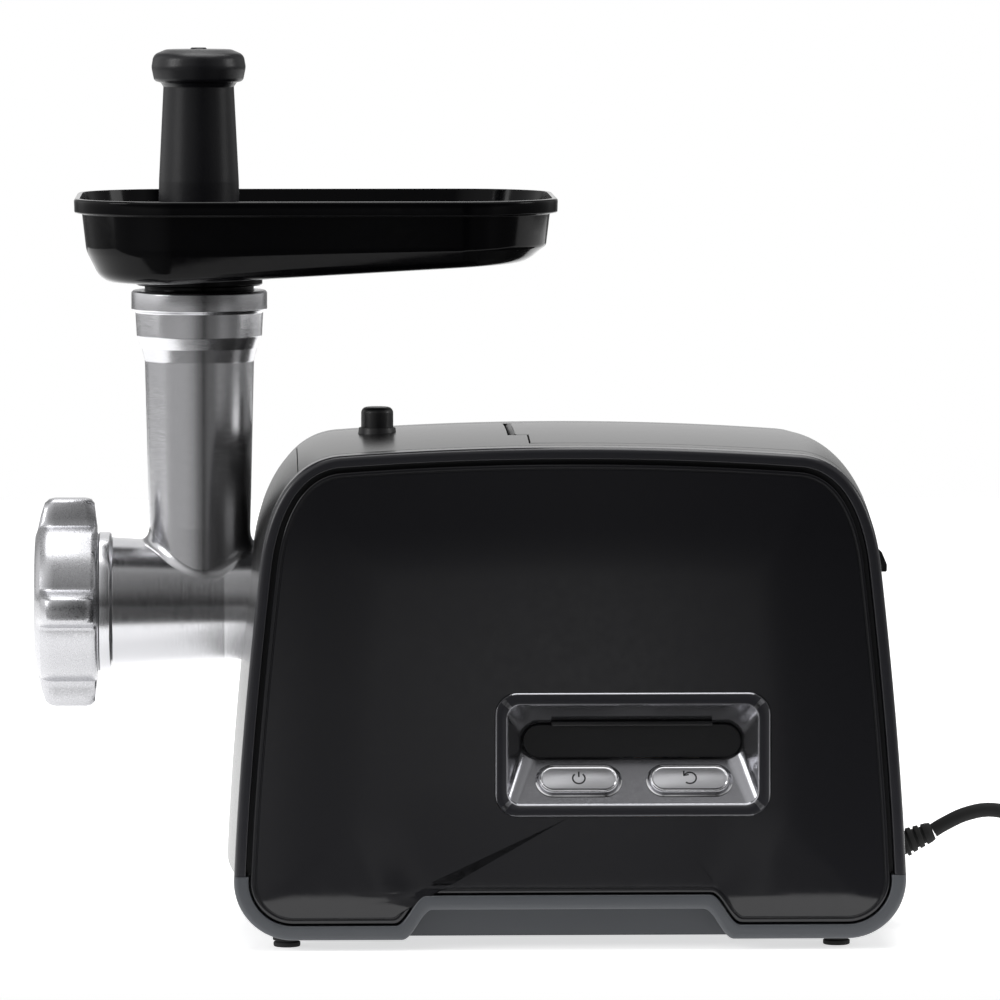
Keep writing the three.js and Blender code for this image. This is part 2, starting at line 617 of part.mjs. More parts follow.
function ringNut() {
  const radius = mouthRadius + nut.wall;
  const skin = turned("x", [
    [0, nutFront + 1.6], [radius - 6, nutFront], [radius - 3, nutFront + 0.8], [radius, nutFront + 5],
    [radius, nutRear - 1], [radius - 1, nutRear], [0, nutRear],
  ], onAxis, 32);
  const lobeTip = radius + nut.lobe;
  const lug = roundedRect(lobeTip - 20, nut.lobeWidth, nut.lobeWidth / 2 - 0.2, 3, (lobeTip + 20) / 2, 0);
  const lobes = Array.from({ length: nut.lobes }, (_, i) => {
    const a = (i / nut.lobes) * 2 * Math.PI;
    const [c, d] = [Math.cos(a), Math.sin(a)];
    const spun = lug.map((p) => v2(p.x * c - p.y * d, axisZ + p.x * d + p.y * c));
    return prism("x", spun, nutFront + 2.5, nutRear - 0.6);
  });
  const mouth = rod("x", plate.radius - nut.lipWidth, nutFront - 5, nutRear + 5, onAxis, 40);
  const thread = rod("x", mouthRadius + nut.play, nutFront + nut.lip, nutRear + 5, onAxis, 40);
  return cut(join(skin, ...lobes), mouth, thread);
}

// ---------------------------------------------------------------- tray and pusher
const spigotOuter = tube.bore + tube.spigot;
const spigotInner = tube.bore + gap;
const rimZ = axisZ + tray.rim;

function hopperTray() {
  const centreX = tubeX + tray.offset;
  const floorZ = rimZ - tray.depth;
  const ring = (inset, z, tilt) => {
    const [length, width] = [tray.length - 2 * inset, tray.width - 2 * inset];
    const plan = roundedRect(length, width, Math.max(tray.corner - inset, 12), 4, centreX, 0);
    return plan.map((p) => v3(p.x, p.y, z + tilt * tray.slope * Math.max(0, p.x - tubeX)));
  };
  const w = tray.wall;
  const rings = [
    ring(26, floorZ, 1), ring(14, floorZ + 2.6, 0.9), ring(7.5, floorZ + 9, 0.6), ring(4.6, floorZ + 18, 0.2),
    ring(3.4, rimZ - tray.band, 0), ring(0, rimZ - tray.band + 0.4, 0), ring(0, rimZ - 1, 0),
    ring(0.8, rimZ, 0), ring(w, rimZ, 0), ring(3.4 + w, rimZ - tray.band, 0), ring(4.6 + w, floorZ + 18, 0.2),
    ring(7.5 + w, floorZ + 10, 0.6), ring(14 + w, floorZ + 2.6 + w, 0.9), ring(26 + w, floorZ + w, 1),
  ];
  const mid = (z) => v3(centreX, 0, z + tray.slope * (centreX - tubeX));
  const dish = loft(rings, [mid(floorZ), mid(floorZ + w)]);
  const neck = rod("z", spigotOuter, rimZ - tray.depth - 14, floorZ + w, v3(tubeX, 0, 0), 24);
  const collar = rod("z", tubeRing - 2, axisZ + tube.height + gap, floorZ + w, v3(tubeX, 0, 0), 24);
  const hole = rod("z", spigotInner, floorZ - 40, floorZ + 30, v3(tubeX, 0, 0), 24);
  return cut(join(dish, neck, collar), hole);
}

function pusherRod() {
  const low = axisZ + throat.ledge + gap;
  const high = low + pusher.length;
  const [r, n, c] = [tube.bore - pusher.play, pusher.neck, pusher.cap];
  const capLow = high - pusher.capHeight;
  const inner = r - pusher.wall;
  const profile = [
    [0, high - 24], [inner - 2.6, high - 26], [inner, low + 90], [inner, low], [r - 0.8, low], [r, low + 1.5],
    [r, low + 105], [r - 0.8, high - 57], [n, capLow - 1], [n + 1.6, capLow + 0.8], [c - 2.2, capLow + 1.6],
    [c - 0.5, capLow + 4], [c, capLow + 7], [c - 0.6, capLow + 10.5], [c - 3, capLow + 13.6],
    [c - 6.5, capLow + 14.6], [3.6, capLow + 14.8], [3, high - 0.1], [0, high],
  ];
  return turned("z", profile, v3(tubeX, 0, 0), 24);
}

// ---------------------------------------------------------------- gear train
// Involute teeth of a stub form; each flank is a chord between points of the true curve, inside it.
function gearOutline(teeth, module, turn, flankPoints) {
  const pitch = (teeth * module) / 2;
  const alpha = rad(gears.pressure);
  const baseR = pitch * Math.cos(alpha);
  const tip = pitch + gears.addendum * module;
  const root = pitch - gears.dedendum * module;
  const involute = (r) => {
    const a = Math.acos(Math.min(1, baseR / Math.max(r, baseR)));
    return Math.tan(a) - a;
  };
  const play = gears.backlash / (2 * pitch);
  const halfTooth = (r) => Math.PI / (2 * teeth) - play + involute(pitch) - involute(r);
  const radii = Array.from({ length: flankPoints }, (_, i) => root + ((tip - root) * i) / (flankPoints - 1));
  const points = [];
  for (let t = 0; t < teeth; t++) {
    const middleAngle = turn + (t * 2 * Math.PI) / teeth;
    const at = (r, a) => v2(r * Math.cos(middleAngle + a), r * Math.sin(middleAngle + a));
    points.push(...radii.map((r) => at(r, -halfTooth(r))));
    points.push(...radii.toReversed().map((r) => at(r, halfTooth(r))));
  }
  return points;
}

// Shaft centres in the YZ plane: the output on the head's axis, then each stage at its distance and angle.
function shaftCentres() {
  const centres = [v2(0, axisZ)];
  stages.forEach((s) => {
    const reach = (s.module * (s.wheel + s.pinion)) / 2;
    const last = centres[centres.length - 1];
    centres.push(v2(last.x + reach * Math.cos(rad(s.angle)), last.y + reach * Math.sin(rad(s.angle))));
  });
  return centres;
}

// Where each stage's layer starts and ends along X.
function layers() {
  let x = frontX + gearbox.front + gearbox.wall + gearbox.layerGap;
  return stages.map((s) => {
    const layer = [x, x + s.width];
    x += s.width + gearbox.layerGap;
    return layer;
  });
}

function wheelOf(index, hole) {
  const s = stages[index];
  const c = shaftCentres()[index];
  const [x0, x1] = layers()[index];
  const turn = rad(s.angle); // a tooth on the line of centres
  const teeth = shifted(gearOutline(s.wheel, s.module, turn, 2), c.x, c.y);
  const shape = shapeWithHoles(teeth, [shifted(hole, c.x, c.y)]);
  return prism("x", shape, x0, x1);
}

function pinionOf(index, hole, overlap) {
  const s = stages[index];
  const c = shaftCentres()[index + 1];
  const [x0, x1] = layers()[index];
  const turn = rad(s.angle) + Math.PI + Math.PI / s.pinion; // a gap on the line of centres
  const teeth = shifted(gearOutline(s.pinion, s.module, turn, 3), c.x, c.y);
  const shape = hole ? shapeWithHoles(teeth, [shifted(hole, c.x, c.y)]) : new THREE.Shape(teeth);
  return prism("x", shape, x0 - 1, x1 + overlap);
}

function outputGear() {
  const hex = circlePoints(auger.drive + 0.35, 6);
  const [x0, x1] = layers()[0];
  const wheel = wheelOf(0, hex);
  const hub = rod("x", gearbox.hub, frontX + gearbox.front - 4, x1, onAxis, 20);
  const bore = prism("x", shifted(hex, 0, axisZ), x0 - 60, x0 + 8);
  return cut(join(wheel, hub), bore);
}

const pinRadius = [0, 2.6, 2];
function outputBush() {
  const x0 = frontX + gearbox.front;
  return ringRod("x", gearbox.hub + 0.15, gearbox.hub + gearbox.bush, x0, x0 + gearbox.wall + 1, onAxis, 20);
}

// A wheel with the pinion that drives the stage before it, turning on a fixed pin.
function compoundGear(index) {
  const hole = circlePoints(pinRadius[index] + 0.1, 14);
  return join(wheelOf(index, hole), pinionOf(index - 1, hole, gearbox.layerGap + 0.5));
}

const boxRear = () => layers()[2][1] + gearbox.layerGap;

function gearPin(index) {
  const c = shaftCentres()[index];
  return rod("x", pinRadius[index], frontX + gearbox.front + 0.8, boxRear() + 1.5, v3(0, c.x, c.y), 14);
}

// The gearbox's outline: circles round the shafts, joined.
function boxSection(grow, from, to) {
  const centres = shaftCentres();
  const radii = stages.map((s) => (s.wheel * s.module) / 2 + s.module + gearbox.play + grow);
  const discs = radii.map((r, i) => rod("x", r, from, to, v3(0, centres[i].x, centres[i].y), 20));
  const [webNear, webFar] = [centres[1].x - radii[1] * 0.8, centres[0].x + radii[1] * 1.1];
  const web = block(from, webNear, centres[2].y, to, webFar, centres[0].y);
  const pinion = rod("x", 12 + grow, from, to, v3(0, centres[3].x, centres[3].y), 16);
  return join(...discs, web, pinion);
}

function gearboxHousing() {
  const x0 = frontX + gearbox.front;
  const outer = boxSection(gearbox.wall, x0, boxRear() - gap);
  const shellBox = cut(outer, boxSection(0, x0 + gearbox.wall, boxRear() + 5));
  const opening = rod("x", gearbox.hub + gearbox.bush + 0.15, x0 - 10, x0 + 10, onAxis, 32);
  const pins = [1, 2].map((i) => {
    const c = shaftCentres()[i];
    return rod("x", pinRadius[i] + 0.1, x0 + 0.6, x0 + 10, v3(0, c.x, c.y), 14);
  });
  return cut(shellBox, opening, ...pins);
}

function gearboxCover() {
  const x0 = boxRear();
  const lidPlate = boxSection(gearbox.wall, x0, x0 + gearbox.wall);
  const centres = shaftCentres();
  const at = (i) => v3(0, centres[i].x, centres[i].y);
  const pins = [1, 2].map((i) => rod("x", pinRadius[i] + 0.1, x0 - 5, x0 + 2, at(i), 14));
  const shaft = rod("x", motor.shaft + 3.2, x0 - 5, x0 + 20, at(3), 20);
  return cut(lidPlate, ...pins, shaft);
}

// ---------------------------------------------------------------- motor
const motorAt = () => shaftCentres()[3];
const motorFront = () => boxRear() + gearbox.wall + 12;

function rotorShaft() {
  const c = v3(0, motorAt().x, motorAt().y);
  const shaft = rod("x", motor.shaft, layers()[2][1] + 0.5, motorFront() + motor.length + motor.tail, c, 20);
  return join(pinionOf(2, null, 1), shaft);
}

const rotorPlace = () => v3(0, motorAt().x, motorAt().y);

function rotorCore() {
  const [x0, x1] = [motorFront(), motorFront() + motor.length];
  const teeth = 12;
  const points = [];
  for (let i = 0; i < teeth; i++) {
    [[-0.42, 1], [0.42, 1], [0.5, 0.72]].forEach(([w, k]) => {
      const a = ((i + w) / teeth) * 2 * Math.PI;
      points.push(v2(motor.radius * k * Math.cos(a), motor.radius * k * Math.sin(a)));
    });
  }
  const shape = shapeWithHoles(shifted(points, motorAt().x, motorAt().y), [
    shifted(circlePoints(motor.shaft + motor.fit, 20), motorAt().x, motorAt().y),
  ]);
  return prism("x", shape, x0, x1);
}

function commutator() {
  const x0 = motorFront() + motor.length + 6;
  return ringRod("x", motor.shaft + motor.fit, 9, x0, x0 + 12, rotorPlace(), 24);
}

function fan() {
  const x0 = motorFront() + motor.length + motor.fan;
  const hub = rod("x", 8, x0, x0 + 6, rotorPlace(), 20);
  const disc = rod("x", 22, x0, x0 + 1.5, rotorPlace(), 28);
  const blades = Array.from({ length: 8 }, (_, i) => {
    const a = (i / 8) * 2 * Math.PI;
    const spin = (x, y) =>
      v2(motorAt().x + x * Math.cos(a) - y * Math.sin(a), motorAt().y + x * Math.sin(a) + y * Math.cos(a));
    return prism("x", [spin(6, -0.8), spin(21, 2.2), spin(21, 3.8), spin(6, 0.8)], x0 + 1, x0 + 7);
  });
  const hole = rod("x", motor.shaft + motor.fit, x0 - 2, x0 + 20, rotorPlace(), 20);
  return cut(join(hub, disc, ...blades), hole);
}

function statorCore() {
  const [x0, x1] = [motorFront(), motorFront() + motor.length];
  const c = motorAt();
  const frame = prism("x", roundedRect(motor.frame * 2, motor.frame * 2, 10, 4, c.x, c.y), x0, x1);
  const bore = rod("x", motor.radius + motor.air, x0 - 5, x1 + 5, rotorPlace(), 32);
  const pockets = [[1, 1], [1, -1], [-1, 1], [-1, -1]].map(([sy, sz]) => {
    const [y0, y1] = [c.x + sy * 8.4, c.x + sy * 17.8].sort((a, b) => a - b);
    const [z0, z1] = [c.y + sz * 10, c.y + sz * 26].sort((a, b) => a - b);
    return block(x0 - 5, y0, z0, x1 + 5, y1, z1);
  });
  return cut(frame, bore, ...pockets);
}

// A flat coil round the pole above (1) or below (-1) the rotor.
function fieldCoil(side) {
  const [x0, x1] = [motorFront() - 7, motorFront() + motor.length + 5];
  const c = motorAt();
  const midX = (x0 + x1) / 2;
  const shape = shapeWithHoles(roundedRect(x1 - x0, 34.4, 6, 3, midX, c.x), [
    roundedRect(motor.length + 0.8, 17.6, 0.2, 1, motorFront() + motor.length / 2, c.x),
  ]);
  const [z0, z1] = [c.y + side * (motor.radius + motor.air + 0.6), c.y + side * 25.4].sort((a, b) => a - b);
  return prism("z", shape, z0, z1);
}

function motorBracket(x0) {
  const c = motorAt();
  const [hw, hh] = [motor.frame, 11];
  const bar = prism("x", roundedRect(2 * hw, 2 * hh, 6, 3, c.x, c.y), x0, x0 + 3);
  return cut(bar, rod("x", motor.bearing + gap, x0 - 5, x0 + 10, rotorPlace(), 20));
}

const bracketFrontX = () => boxRear() + gearbox.wall + 1;
const bracketRearX = () => motorFront() + motor.length + motor.rearBracket;
const bearing = (x0) => ringRod("x", motor.shaft + motor.fit, motor.bearing, x0, x0 + 3, rotorPlace(), 24);

function brushHolder(side) {
  const x = motorFront() + motor.length + 12;
  const [y0, y1] = [motorAt().x + side * 9.4, motorAt().x + side * 26].sort((a, b) => a - b);
  return block(x - 4, y0, motorAt().y - 4, x + 4, y1, motorAt().y + 4);
}

// ---------------------------------------------------------------- storage
function storageBin() {
  const top = body.top - bin.drop;
  const w = bin.wall;
  const outer = block(-bin.front, -bin.halfWidth, top - bin.depth, bin.rear, bin.halfWidth, top);
  const innerHalf = bin.halfWidth - w;
  const inner = block(-bin.front + w, -innerHalf, top - bin.depth + w, bin.rear - w, innerHalf, top + 5);
  const brimHalf = bin.halfWidth + bin.brim;
  const brim = block(-bin.front - 3, -brimHalf, top - w, bin.rear + 3, brimHalf, top);
  return cut(join(outer, brim), inner);
}

// A spare plate standing on edge in the bin, facing along X.
function sparePlate(x, rings, hole, sides) {
  const bottom = body.top - bin.drop - bin.depth + bin.wall + gap;
  const shape = cuttingPlate(rings, hole, sides);
  return prism("x", shape, x, x + plate.thickness).translate([0, 0, bottom + plate.radius]);
}

// ---------------------------------------------------------------- mains lead
const wallX = () => halfWidthAt(relief.height) + body.crown;
const reliefWay = v3(Math.cos(rad(relief.tilt)), 0, Math.sin(rad(relief.tilt)));
const reliefAt = (distance) => v3(wallX(), 0, relief.height).addScaledVector(reliefWay, distance);

function alongRelief(profile, segments) {
  const lathe = new THREE.LatheGeometry(profile.map(([r, h]) => v2(r, h)), segments);
  lathe.rotateZ(-Math.PI / 2 + rad(relief.tilt)).rotateX(Math.PI / 2);
  lathe.translate(wallX(), 0, relief.height);
  const solid = solidOf(lathe);
  return solid.volume() < 0 ? flipped(lathe) : solid;
}

const reliefHole = relief.neck + gap;
const reliefChannel = () => alongRelief([[0, -15], [reliefHole, -15], [reliefHole, 12], [0, 12]], 16);

function strainRelief() {
  const n = relief.neck;
  const flange = [[0, -12.5], [n + 2.2, -12.5], [n + 2.2, -10.5], [n, -10.5]];
  const profile = [...flange, [n, 2.8], [n + 1.2, 2.8], [n + 1.2, 4.4]];
  for (let h = 4.4; h < relief.length - 1; h += 3.4) {
    const r = n + 0.6 - (h - 4.4) * 0.13;
    profile.push([r - 0.9, h], [r - 0.9, h + 1.1], [r, h + 1.1], [r, h + 3.4]);
  }
  const end = Math.max(relief.length, profile.at(-1)[1]);
  profile.push([3.6, end], [0, end]);
  return alongRelief(profile, 14);
}

// The lead: out of the relief, over a low crest, down to the surface and along it to the coil.
const cordRoute = [
  [21, 42.6], [30.5, 47.2], [41, 49.3], [51, 47.3], [61, 40], [69, 29],
  [76, 18], [84, 9.5], [94, 5], [106, 4.2], [121.8, 4.2],
];

function cordTube() {
  const r = cordSize.diameter / 2;
  const start = reliefAt(relief.length + 1.7);
  const points = cordRoute.map(([x, z]) => v3(wallX() - 1.8 + x, 0, z));
  return tubeAlong([start, ...points], r, 8, 30);
}

const coilCentre = () => v3(wallX() + cordSize.coilX, cordSize.coilY, 0);

function cordCoil() {
  const c = cordSize;
  const [r0, r1] = [c.coilRadius - c.diameter, c.coilRadius + c.diameter];
  const [z0, z1] = [c.lift, c.lift + 2 * c.diameter];
  const profile = [
    [r0, z0 + 2], [r0 + 2, z0], [r1 - 2, z0], [r1, z0 + 2],
    [r1, z1 - 2], [r1 - 2, z1], [r0 + 2, z1], [r0, z1 - 2], [r0, z0 + 2],
  ];
  return turned("z", profile, coilCentre(), 28);
}

function coilTie() {
  const c = cordSize;
  const centre = coilCentre();
  const [x0, x1] = [centre.x + c.coilRadius - c.diameter - 1, centre.x + c.coilRadius + c.diameter + 0.6];
  const top = c.lift + 2 * c.diameter;
  const outer = block(x0 - 0.8, centre.y - 4, 0, x1 + 0.8, centre.y + 4, top + 1.1);
  return cut(outer, block(x0, centre.y - 5, 0.8, x1, centre.y + 5, top + 0.3));
}

function plug() {
  const c = coilCentre();
  const y = c.y + cordSize.coilRadius + cordSize.diameter / 2;
  const start = c.x - cordSize.plugSetback;
  const z = 9;
  const at = v3(0, y, z);
  const sleeve = turned("x", [[0, -start], [3.6, -start], [5.2, -start + 14], [0, -start + 14]], at, 14);
  const collar = sleeve.scale([-1, 1, 1]);
  const grip = prism("x", roundedRect(26, 17, 6, 4, y, z), start - 46, start - 12);
  const pins = [-1, 1].map((s) => rod("x", 2.4, start - 65, start - 44, v3(0, y + s * 9.5, z), 12));
  return join(collar, grip, ...pins);
}

// ---------------------------------------------------------------- finishes and assembly
const finish = (color, roughness, metalness = 0) =>
  new THREE.MeshStandardMaterial({ color, roughness, metalness });
const FINISH = {
  gloss: finish(0x0b0b0d, 0.12), satin: finish(0x1b1b1e, 0.45),
  trim: finish(0x62656b, 0.6), rubber: finish(0x0c0c0d, 0.85),
  aluminium: finish(0xc9cacd, 0.28, 1), steel: finish(0xb8babd, 0.3, 1), chrome: finish(0xd8d8dc, 0.1, 1),
  nylon: finish(0xd8d4c6, 0.5), copper: finish(0xb06a3a, 0.4, 1), lamination: finish(0x70737a, 0.5, 1),
  board: finish(0x1d5a34, 0.6), grey: finish(0x8b8d91, 0.5), brass: finish(0xb08d4a, 0.35, 1),
};

const part = new THREE.Group();
function add(name, solid, material) {
  const mesh = new THREE.Mesh(geometryOf(solid), FINISH[material]);
  mesh.name = name;
  part.add(mesh);
}

add("base", base(), "trim");
["front_near", "front_far", "rear_near", "rear_far"].forEach((name, i) => {
  add("foot_" + name, footPad(feetAt()[i]), "rubber");
});
add("side_frame_near", sideFrame(-1), "gloss");
add("side_frame_far", sideFrame(1), "gloss");
add("side_panel_near", sidePanel(-1), "gloss");
add("side_panel_far", sidePanel(1), "gloss");
add("front_fascia", frontFascia(), "gloss");
add("top_cover", topCover(), "gloss");
add("rear_cover", rearCover(), "gloss");
add("storage_lid", storageLid(), "gloss");
add("lid_hinge_pin", lidHingePin(), "steel");
add("storage_bin", storageBin(), "satin");
add("spare_plate_fine", sparePlate(24, [[12, 8], [20.5, 16]], 1.9, 4), "steel");
add("spare_plate_coarse", sparePlate(44, [[15.5, 7]], 4.5, 8), "steel");
add("control_bezel", controlBezel(), "chrome");
add("power_button", pushButton("power"), "steel");
add("reverse_button", pushButton("reverse"), "steel");
add("power_switch", microSwitch("power"), "satin");
add("reverse_switch", microSwitch("reverse"), "satin");
add("control_board", controlBoard(), "board");
add("lock_button", lockButton(), "gloss");
add("lock_yoke", lockYoke(), "grey");
add("lock_spring", lockSpring(), "steel");
add("head_socket", headSocket(), "grey");
add("gearbox_housing", gearboxHousing(), "grey");
add("gearbox_cover", gearboxCover(), "grey");
add("output_gear", outputGear(), "nylon");
add("output_bush", outputBush(), "brass");
add("second_gear", compoundGear(1), "nylon");
add("second_gear_pin", gearPin(1), "steel");
add("first_gear", compoundGear(2), "nylon");
add("first_gear_pin", gearPin(2), "steel");
add("motor_bracket_front", motorBracket(bracketFrontX()), "steel");
add("motor_bracket_rear", motorBracket(bracketRearX()), "steel");
add("stator_core", statorCore(), "lamination");
add("field_coil_upper", fieldCoil(1), "copper");
add("field_coil_lower", fieldCoil(-1), "copper");
add("rotor_core", rotorCore(), "lamination");
add("rotor_shaft", rotorShaft(), "steel");
add("commutator", commutator(), "copper");
add("cooling_fan", fan(), "nylon");
add("bearing_front", bearing(bracketFrontX()), "brass");
add("bearing_rear", bearing(bracketRearX()), "brass");
add("brush_holder_near", brushHolder(-1), "brass");
add("brush_holder_far", brushHolder(1), "brass");
add("strain_relief", strainRelief(), "rubber");
add("mains_cord", cordTube(), "rubber");
add("cord_coil", cordCoil(), "rubber");
add("coil_tie", coilTie(), "satin");
add("mains_plug", plug(), "rubber");
add("head_barrel", headBarrel(), "aluminium");
add("auger", augerScrew(), "aluminium");
add("knife", knifeBlade(), "steel");
add("cutting_plate", workingPlate(), "steel");
add("ring_nut", ringNut(), "aluminium");
add("hopper_tray", hopperTray(), "gloss");
add("pusher", pusherRod(), "satin");

// The origin is under the middle of the machine's own box, from the nut's front to the rear cover.
part.position.x = -(nutFront + halfWidthAt(shell.rise + gap) + body.crown) / 2;

export default part;
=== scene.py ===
"""A countertop meat grinder: glossy motor base, aluminium head, hopper tray, pusher and mains lead.

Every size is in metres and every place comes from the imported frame.
"""

from __future__ import annotations

import json
import logging
import math
from dataclasses import dataclass
from enum import Enum
from typing import Callable, Iterable, Sequence

import bmesh
import bpy
from mathutils import Matrix, Vector
from mathutils.geometry import intersect_point_line
from mathutils.kdtree import KDTree


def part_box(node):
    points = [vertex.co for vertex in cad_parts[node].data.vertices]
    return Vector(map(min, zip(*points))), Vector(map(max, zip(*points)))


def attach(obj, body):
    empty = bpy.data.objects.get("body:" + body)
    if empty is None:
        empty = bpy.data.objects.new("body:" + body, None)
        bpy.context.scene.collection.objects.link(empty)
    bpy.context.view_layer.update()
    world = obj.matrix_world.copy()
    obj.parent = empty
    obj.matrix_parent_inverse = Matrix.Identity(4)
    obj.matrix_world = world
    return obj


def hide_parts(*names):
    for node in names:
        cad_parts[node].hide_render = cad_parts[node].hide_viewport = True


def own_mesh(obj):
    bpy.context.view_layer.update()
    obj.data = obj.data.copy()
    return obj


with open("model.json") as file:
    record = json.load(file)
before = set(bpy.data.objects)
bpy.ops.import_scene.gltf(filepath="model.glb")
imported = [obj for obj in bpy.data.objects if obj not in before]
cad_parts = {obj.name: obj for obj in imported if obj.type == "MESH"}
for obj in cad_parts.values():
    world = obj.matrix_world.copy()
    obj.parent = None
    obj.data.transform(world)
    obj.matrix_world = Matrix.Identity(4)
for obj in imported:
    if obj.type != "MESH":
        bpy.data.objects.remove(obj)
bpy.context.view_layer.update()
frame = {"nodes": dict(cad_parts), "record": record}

LOG = logging.getLogger("meat_grinder")
Ring = list[Vector]
Point2 = tuple[float, float]
Point3 = tuple[float, float, float]
SAME_POINT = 1e-6
FULL_TURN = 2 * math.pi


# ---------------------------------------------------------------- node helpers
def fill(tree: bpy.types.NodeTree, node: bpy.types.Node, values: dict[str | int, object]) -> bpy.types.Node:
    """Fill a node's inputs: a socket is linked to its input, and anything else is set on it."""
    for key, value in values.items():
        if isinstance(value, bpy.types.NodeSocket):
            tree.links.new(value, node.inputs[key])
        else:
            node.inputs[key].default_value = value
    return node


def add_noise(
    tree: bpy.types.NodeTree, place: bpy.types.NodeSocket, scale: float, detail: float
) -> bpy.types.NodeSocket:
    """Add a noise texture of scale patches to the metre and detail octaves, and return its value."""
    node = tree.nodes.new("ShaderNodeTexNoise")
    return fill(tree, node, {"Vector": place, "Scale": scale, "Detail": detail}).outputs["Fac"]


# ---------------------------------------------------------------- finishes
class Texture(Enum):
    """What the fine surface of a finish is like."""

    POLISHED = "polished"
    GRAINED = "grained"
    BRUSHED_X = "brushed along x"
    BRUSHED_Z = "brushed along z"
    TURNED_X = "turned about x"
    TURNED_Z = "turned about z"


STRETCH = {
    Texture.POLISHED: (1.0, 1.0, 1.0),
    Texture.GRAINED: (1.0, 1.0, 1.0),
    Texture.BRUSHED_X: (0.02, 1.0, 1.0),
    Texture.BRUSHED_Z: (1.0, 1.0, 0.03),
    Texture.TURNED_X: (1.0, 0.05, 0.05),
    Texture.TURNED_Z: (0.05, 0.05, 1.0),
}
FINE_OCTAVES = 4.0
MOTTLE_OCTAVES = 3.0
MOTTLE_SCALE = 14.0
NOISE_LOW, NOISE_HIGH = 0.3, 0.7
RELIEF_DEPTH = 0.0003
COAT_ROUGHNESS = 0.03


@dataclass(frozen=True)
class Finish:
    """One surface finish, which builds its own procedural material.

    The fine texture drives the bump and the roughness, and a slow mottle drives the colour.
    """

    name: str
    color: tuple[float, float, float]
    roughness: float
    metallic: float = 0.0
    coat: float = 0.0
    texture: Texture = Texture.GRAINED
    scale: float = 900.0
    bump: float = 0.05
    spread: float = 0.06
    mottle: float = 0.06
    specular: float = 0.5

    def material(self) -> bpy.types.Material:
        """Build the material, or return the one already made."""
        known = bpy.data.materials.get(self.name)
        if known is not None:
            return known
        made = bpy.data.materials.new(self.name)
        made.use_nodes = True
        tree = made.node_tree
        add = tree.nodes.new
        place = add("ShaderNodeTexCoord").outputs["Object"]
        stretched = fill(tree, add("ShaderNodeMapping"), {"Vector": place, "Scale": STRETCH[self.texture]})
        fine = add_noise(tree, stretched.outputs["Vector"], self.scale, FINE_OCTAVES)
        rough = fill(tree, add("ShaderNodeMapRange"), {
            "Value": fine, "From Min": NOISE_LOW, "From Max": NOISE_HIGH,
            "To Min": max(0.0, self.roughness - self.spread), "To Max": self.roughness + self.spread,
        })
        tint = add("ShaderNodeMix")
        tint.data_type = "RGBA"
        fill(tree, tint, {
            "Factor": add_noise(tree, place, MOTTLE_SCALE, MOTTLE_OCTAVES),
            "A": (*(c * (1 - self.mottle) for c in self.color), 1),
            "B": (*(min(1, c * (1 + self.mottle)) for c in self.color), 1),
        })
        relief = fill(
            tree, add("ShaderNodeBump"),
            {"Height": fine, "Strength": self.bump, "Distance": RELIEF_DEPTH}
        )
        fill(tree, tree.nodes["Principled BSDF"], {
            "Metallic": self.metallic, "Specular IOR Level": self.specular,
            "Coat Weight": self.coat, "Coat Roughness": COAT_ROUGHNESS,
            "Roughness": rough.outputs["Result"], "Base Color": tint.outputs["Result"],
            "Normal": relief.outputs["Normal"],
        })
        return made


PANEL_GLOSS = Finish(
    "panel_gloss", (0.012, 0.012, 0.014), 0.07, texture=Texture.POLISHED, scale=300, bump=0.002,
    spread=0.015
)
FRAME_GLOSS = Finish(
    "frame_gloss", (0.016, 0.016, 0.018), 0.1, texture=Texture.POLISHED, scale=300, bump=0.003,
    spread=0.02
)
COVER_GLOSS = Finish(
    "cover_gloss", (0.018, 0.018, 0.02), 0.1, texture=Texture.POLISHED, scale=300, bump=0.003,
    spread=0.02
)
TRIM_SATIN = Finish("trim_satin", (0.07, 0.075, 0.084), 0.38, scale=1600, bump=0.05)
TRAY_GLOSS = Finish(
    "tray_gloss", (0.0015, 0.0015, 0.002), 0.12, texture=Texture.POLISHED, scale=250, bump=0.004,
    spread=0.03, specular=0.14
)
PUSHER_SATIN = Finish("pusher_satin", (0.005, 0.005, 0.007), 0.34, scale=1400, bump=0.1, specular=0.4)
BLACK_SATIN = Finish("black_satin", (0.006, 0.006, 0.007), 0.4, scale=1200, bump=0.06)
RUBBER = Finish("rubber", (0.008, 0.008, 0.01), 0.55, scale=1800, bump=0.12, mottle=0.1)
SMOKED_CHROME = Finish(
    "smoked_chrome", (0.34, 0.34, 0.36), 0.16, 0.95, texture=Texture.POLISHED, bump=0.01, spread=0.04
)
BUTTON_STEEL = Finish(
    "button_steel", (0.74, 0.74, 0.77), 0.34, 1.0, texture=Texture.BRUSHED_X, scale=5000, bump=0.1,
    spread=0.1
)
CHROME = Finish("chrome", (0.85, 0.85, 0.87), 0.08, 1.0, texture=Texture.POLISHED, bump=0.01, spread=0.03)
ALUMINIUM_X = Finish(
    "aluminium_turned_x", (0.66, 0.66, 0.68), 0.22, 1.0, texture=Texture.TURNED_X, scale=3600,
    bump=0.03, spread=0.05
)
ALUMINIUM_Z = Finish(
    "aluminium_turned_z", (0.66, 0.66, 0.68), 0.22, 1.0, texture=Texture.TURNED_Z, scale=3600,
    bump=0.03, spread=0.05
)
NUT_SATIN = Finish(
    "nut_satin", (0.57, 0.57, 0.59), 0.3, 1.0, texture=Texture.GRAINED, scale=1500, bump=0.08,
    spread=0.08
)
STEEL = Finish(
    "ground_steel", (0.56, 0.57, 0.59), 0.28, 1.0, texture=Texture.BRUSHED_X, scale=2600, bump=0.06,
    spread=0.08
)
GREY_NYLON = Finish("grey_nylon", (0.2, 0.2, 0.21), 0.5, bump=0.08)
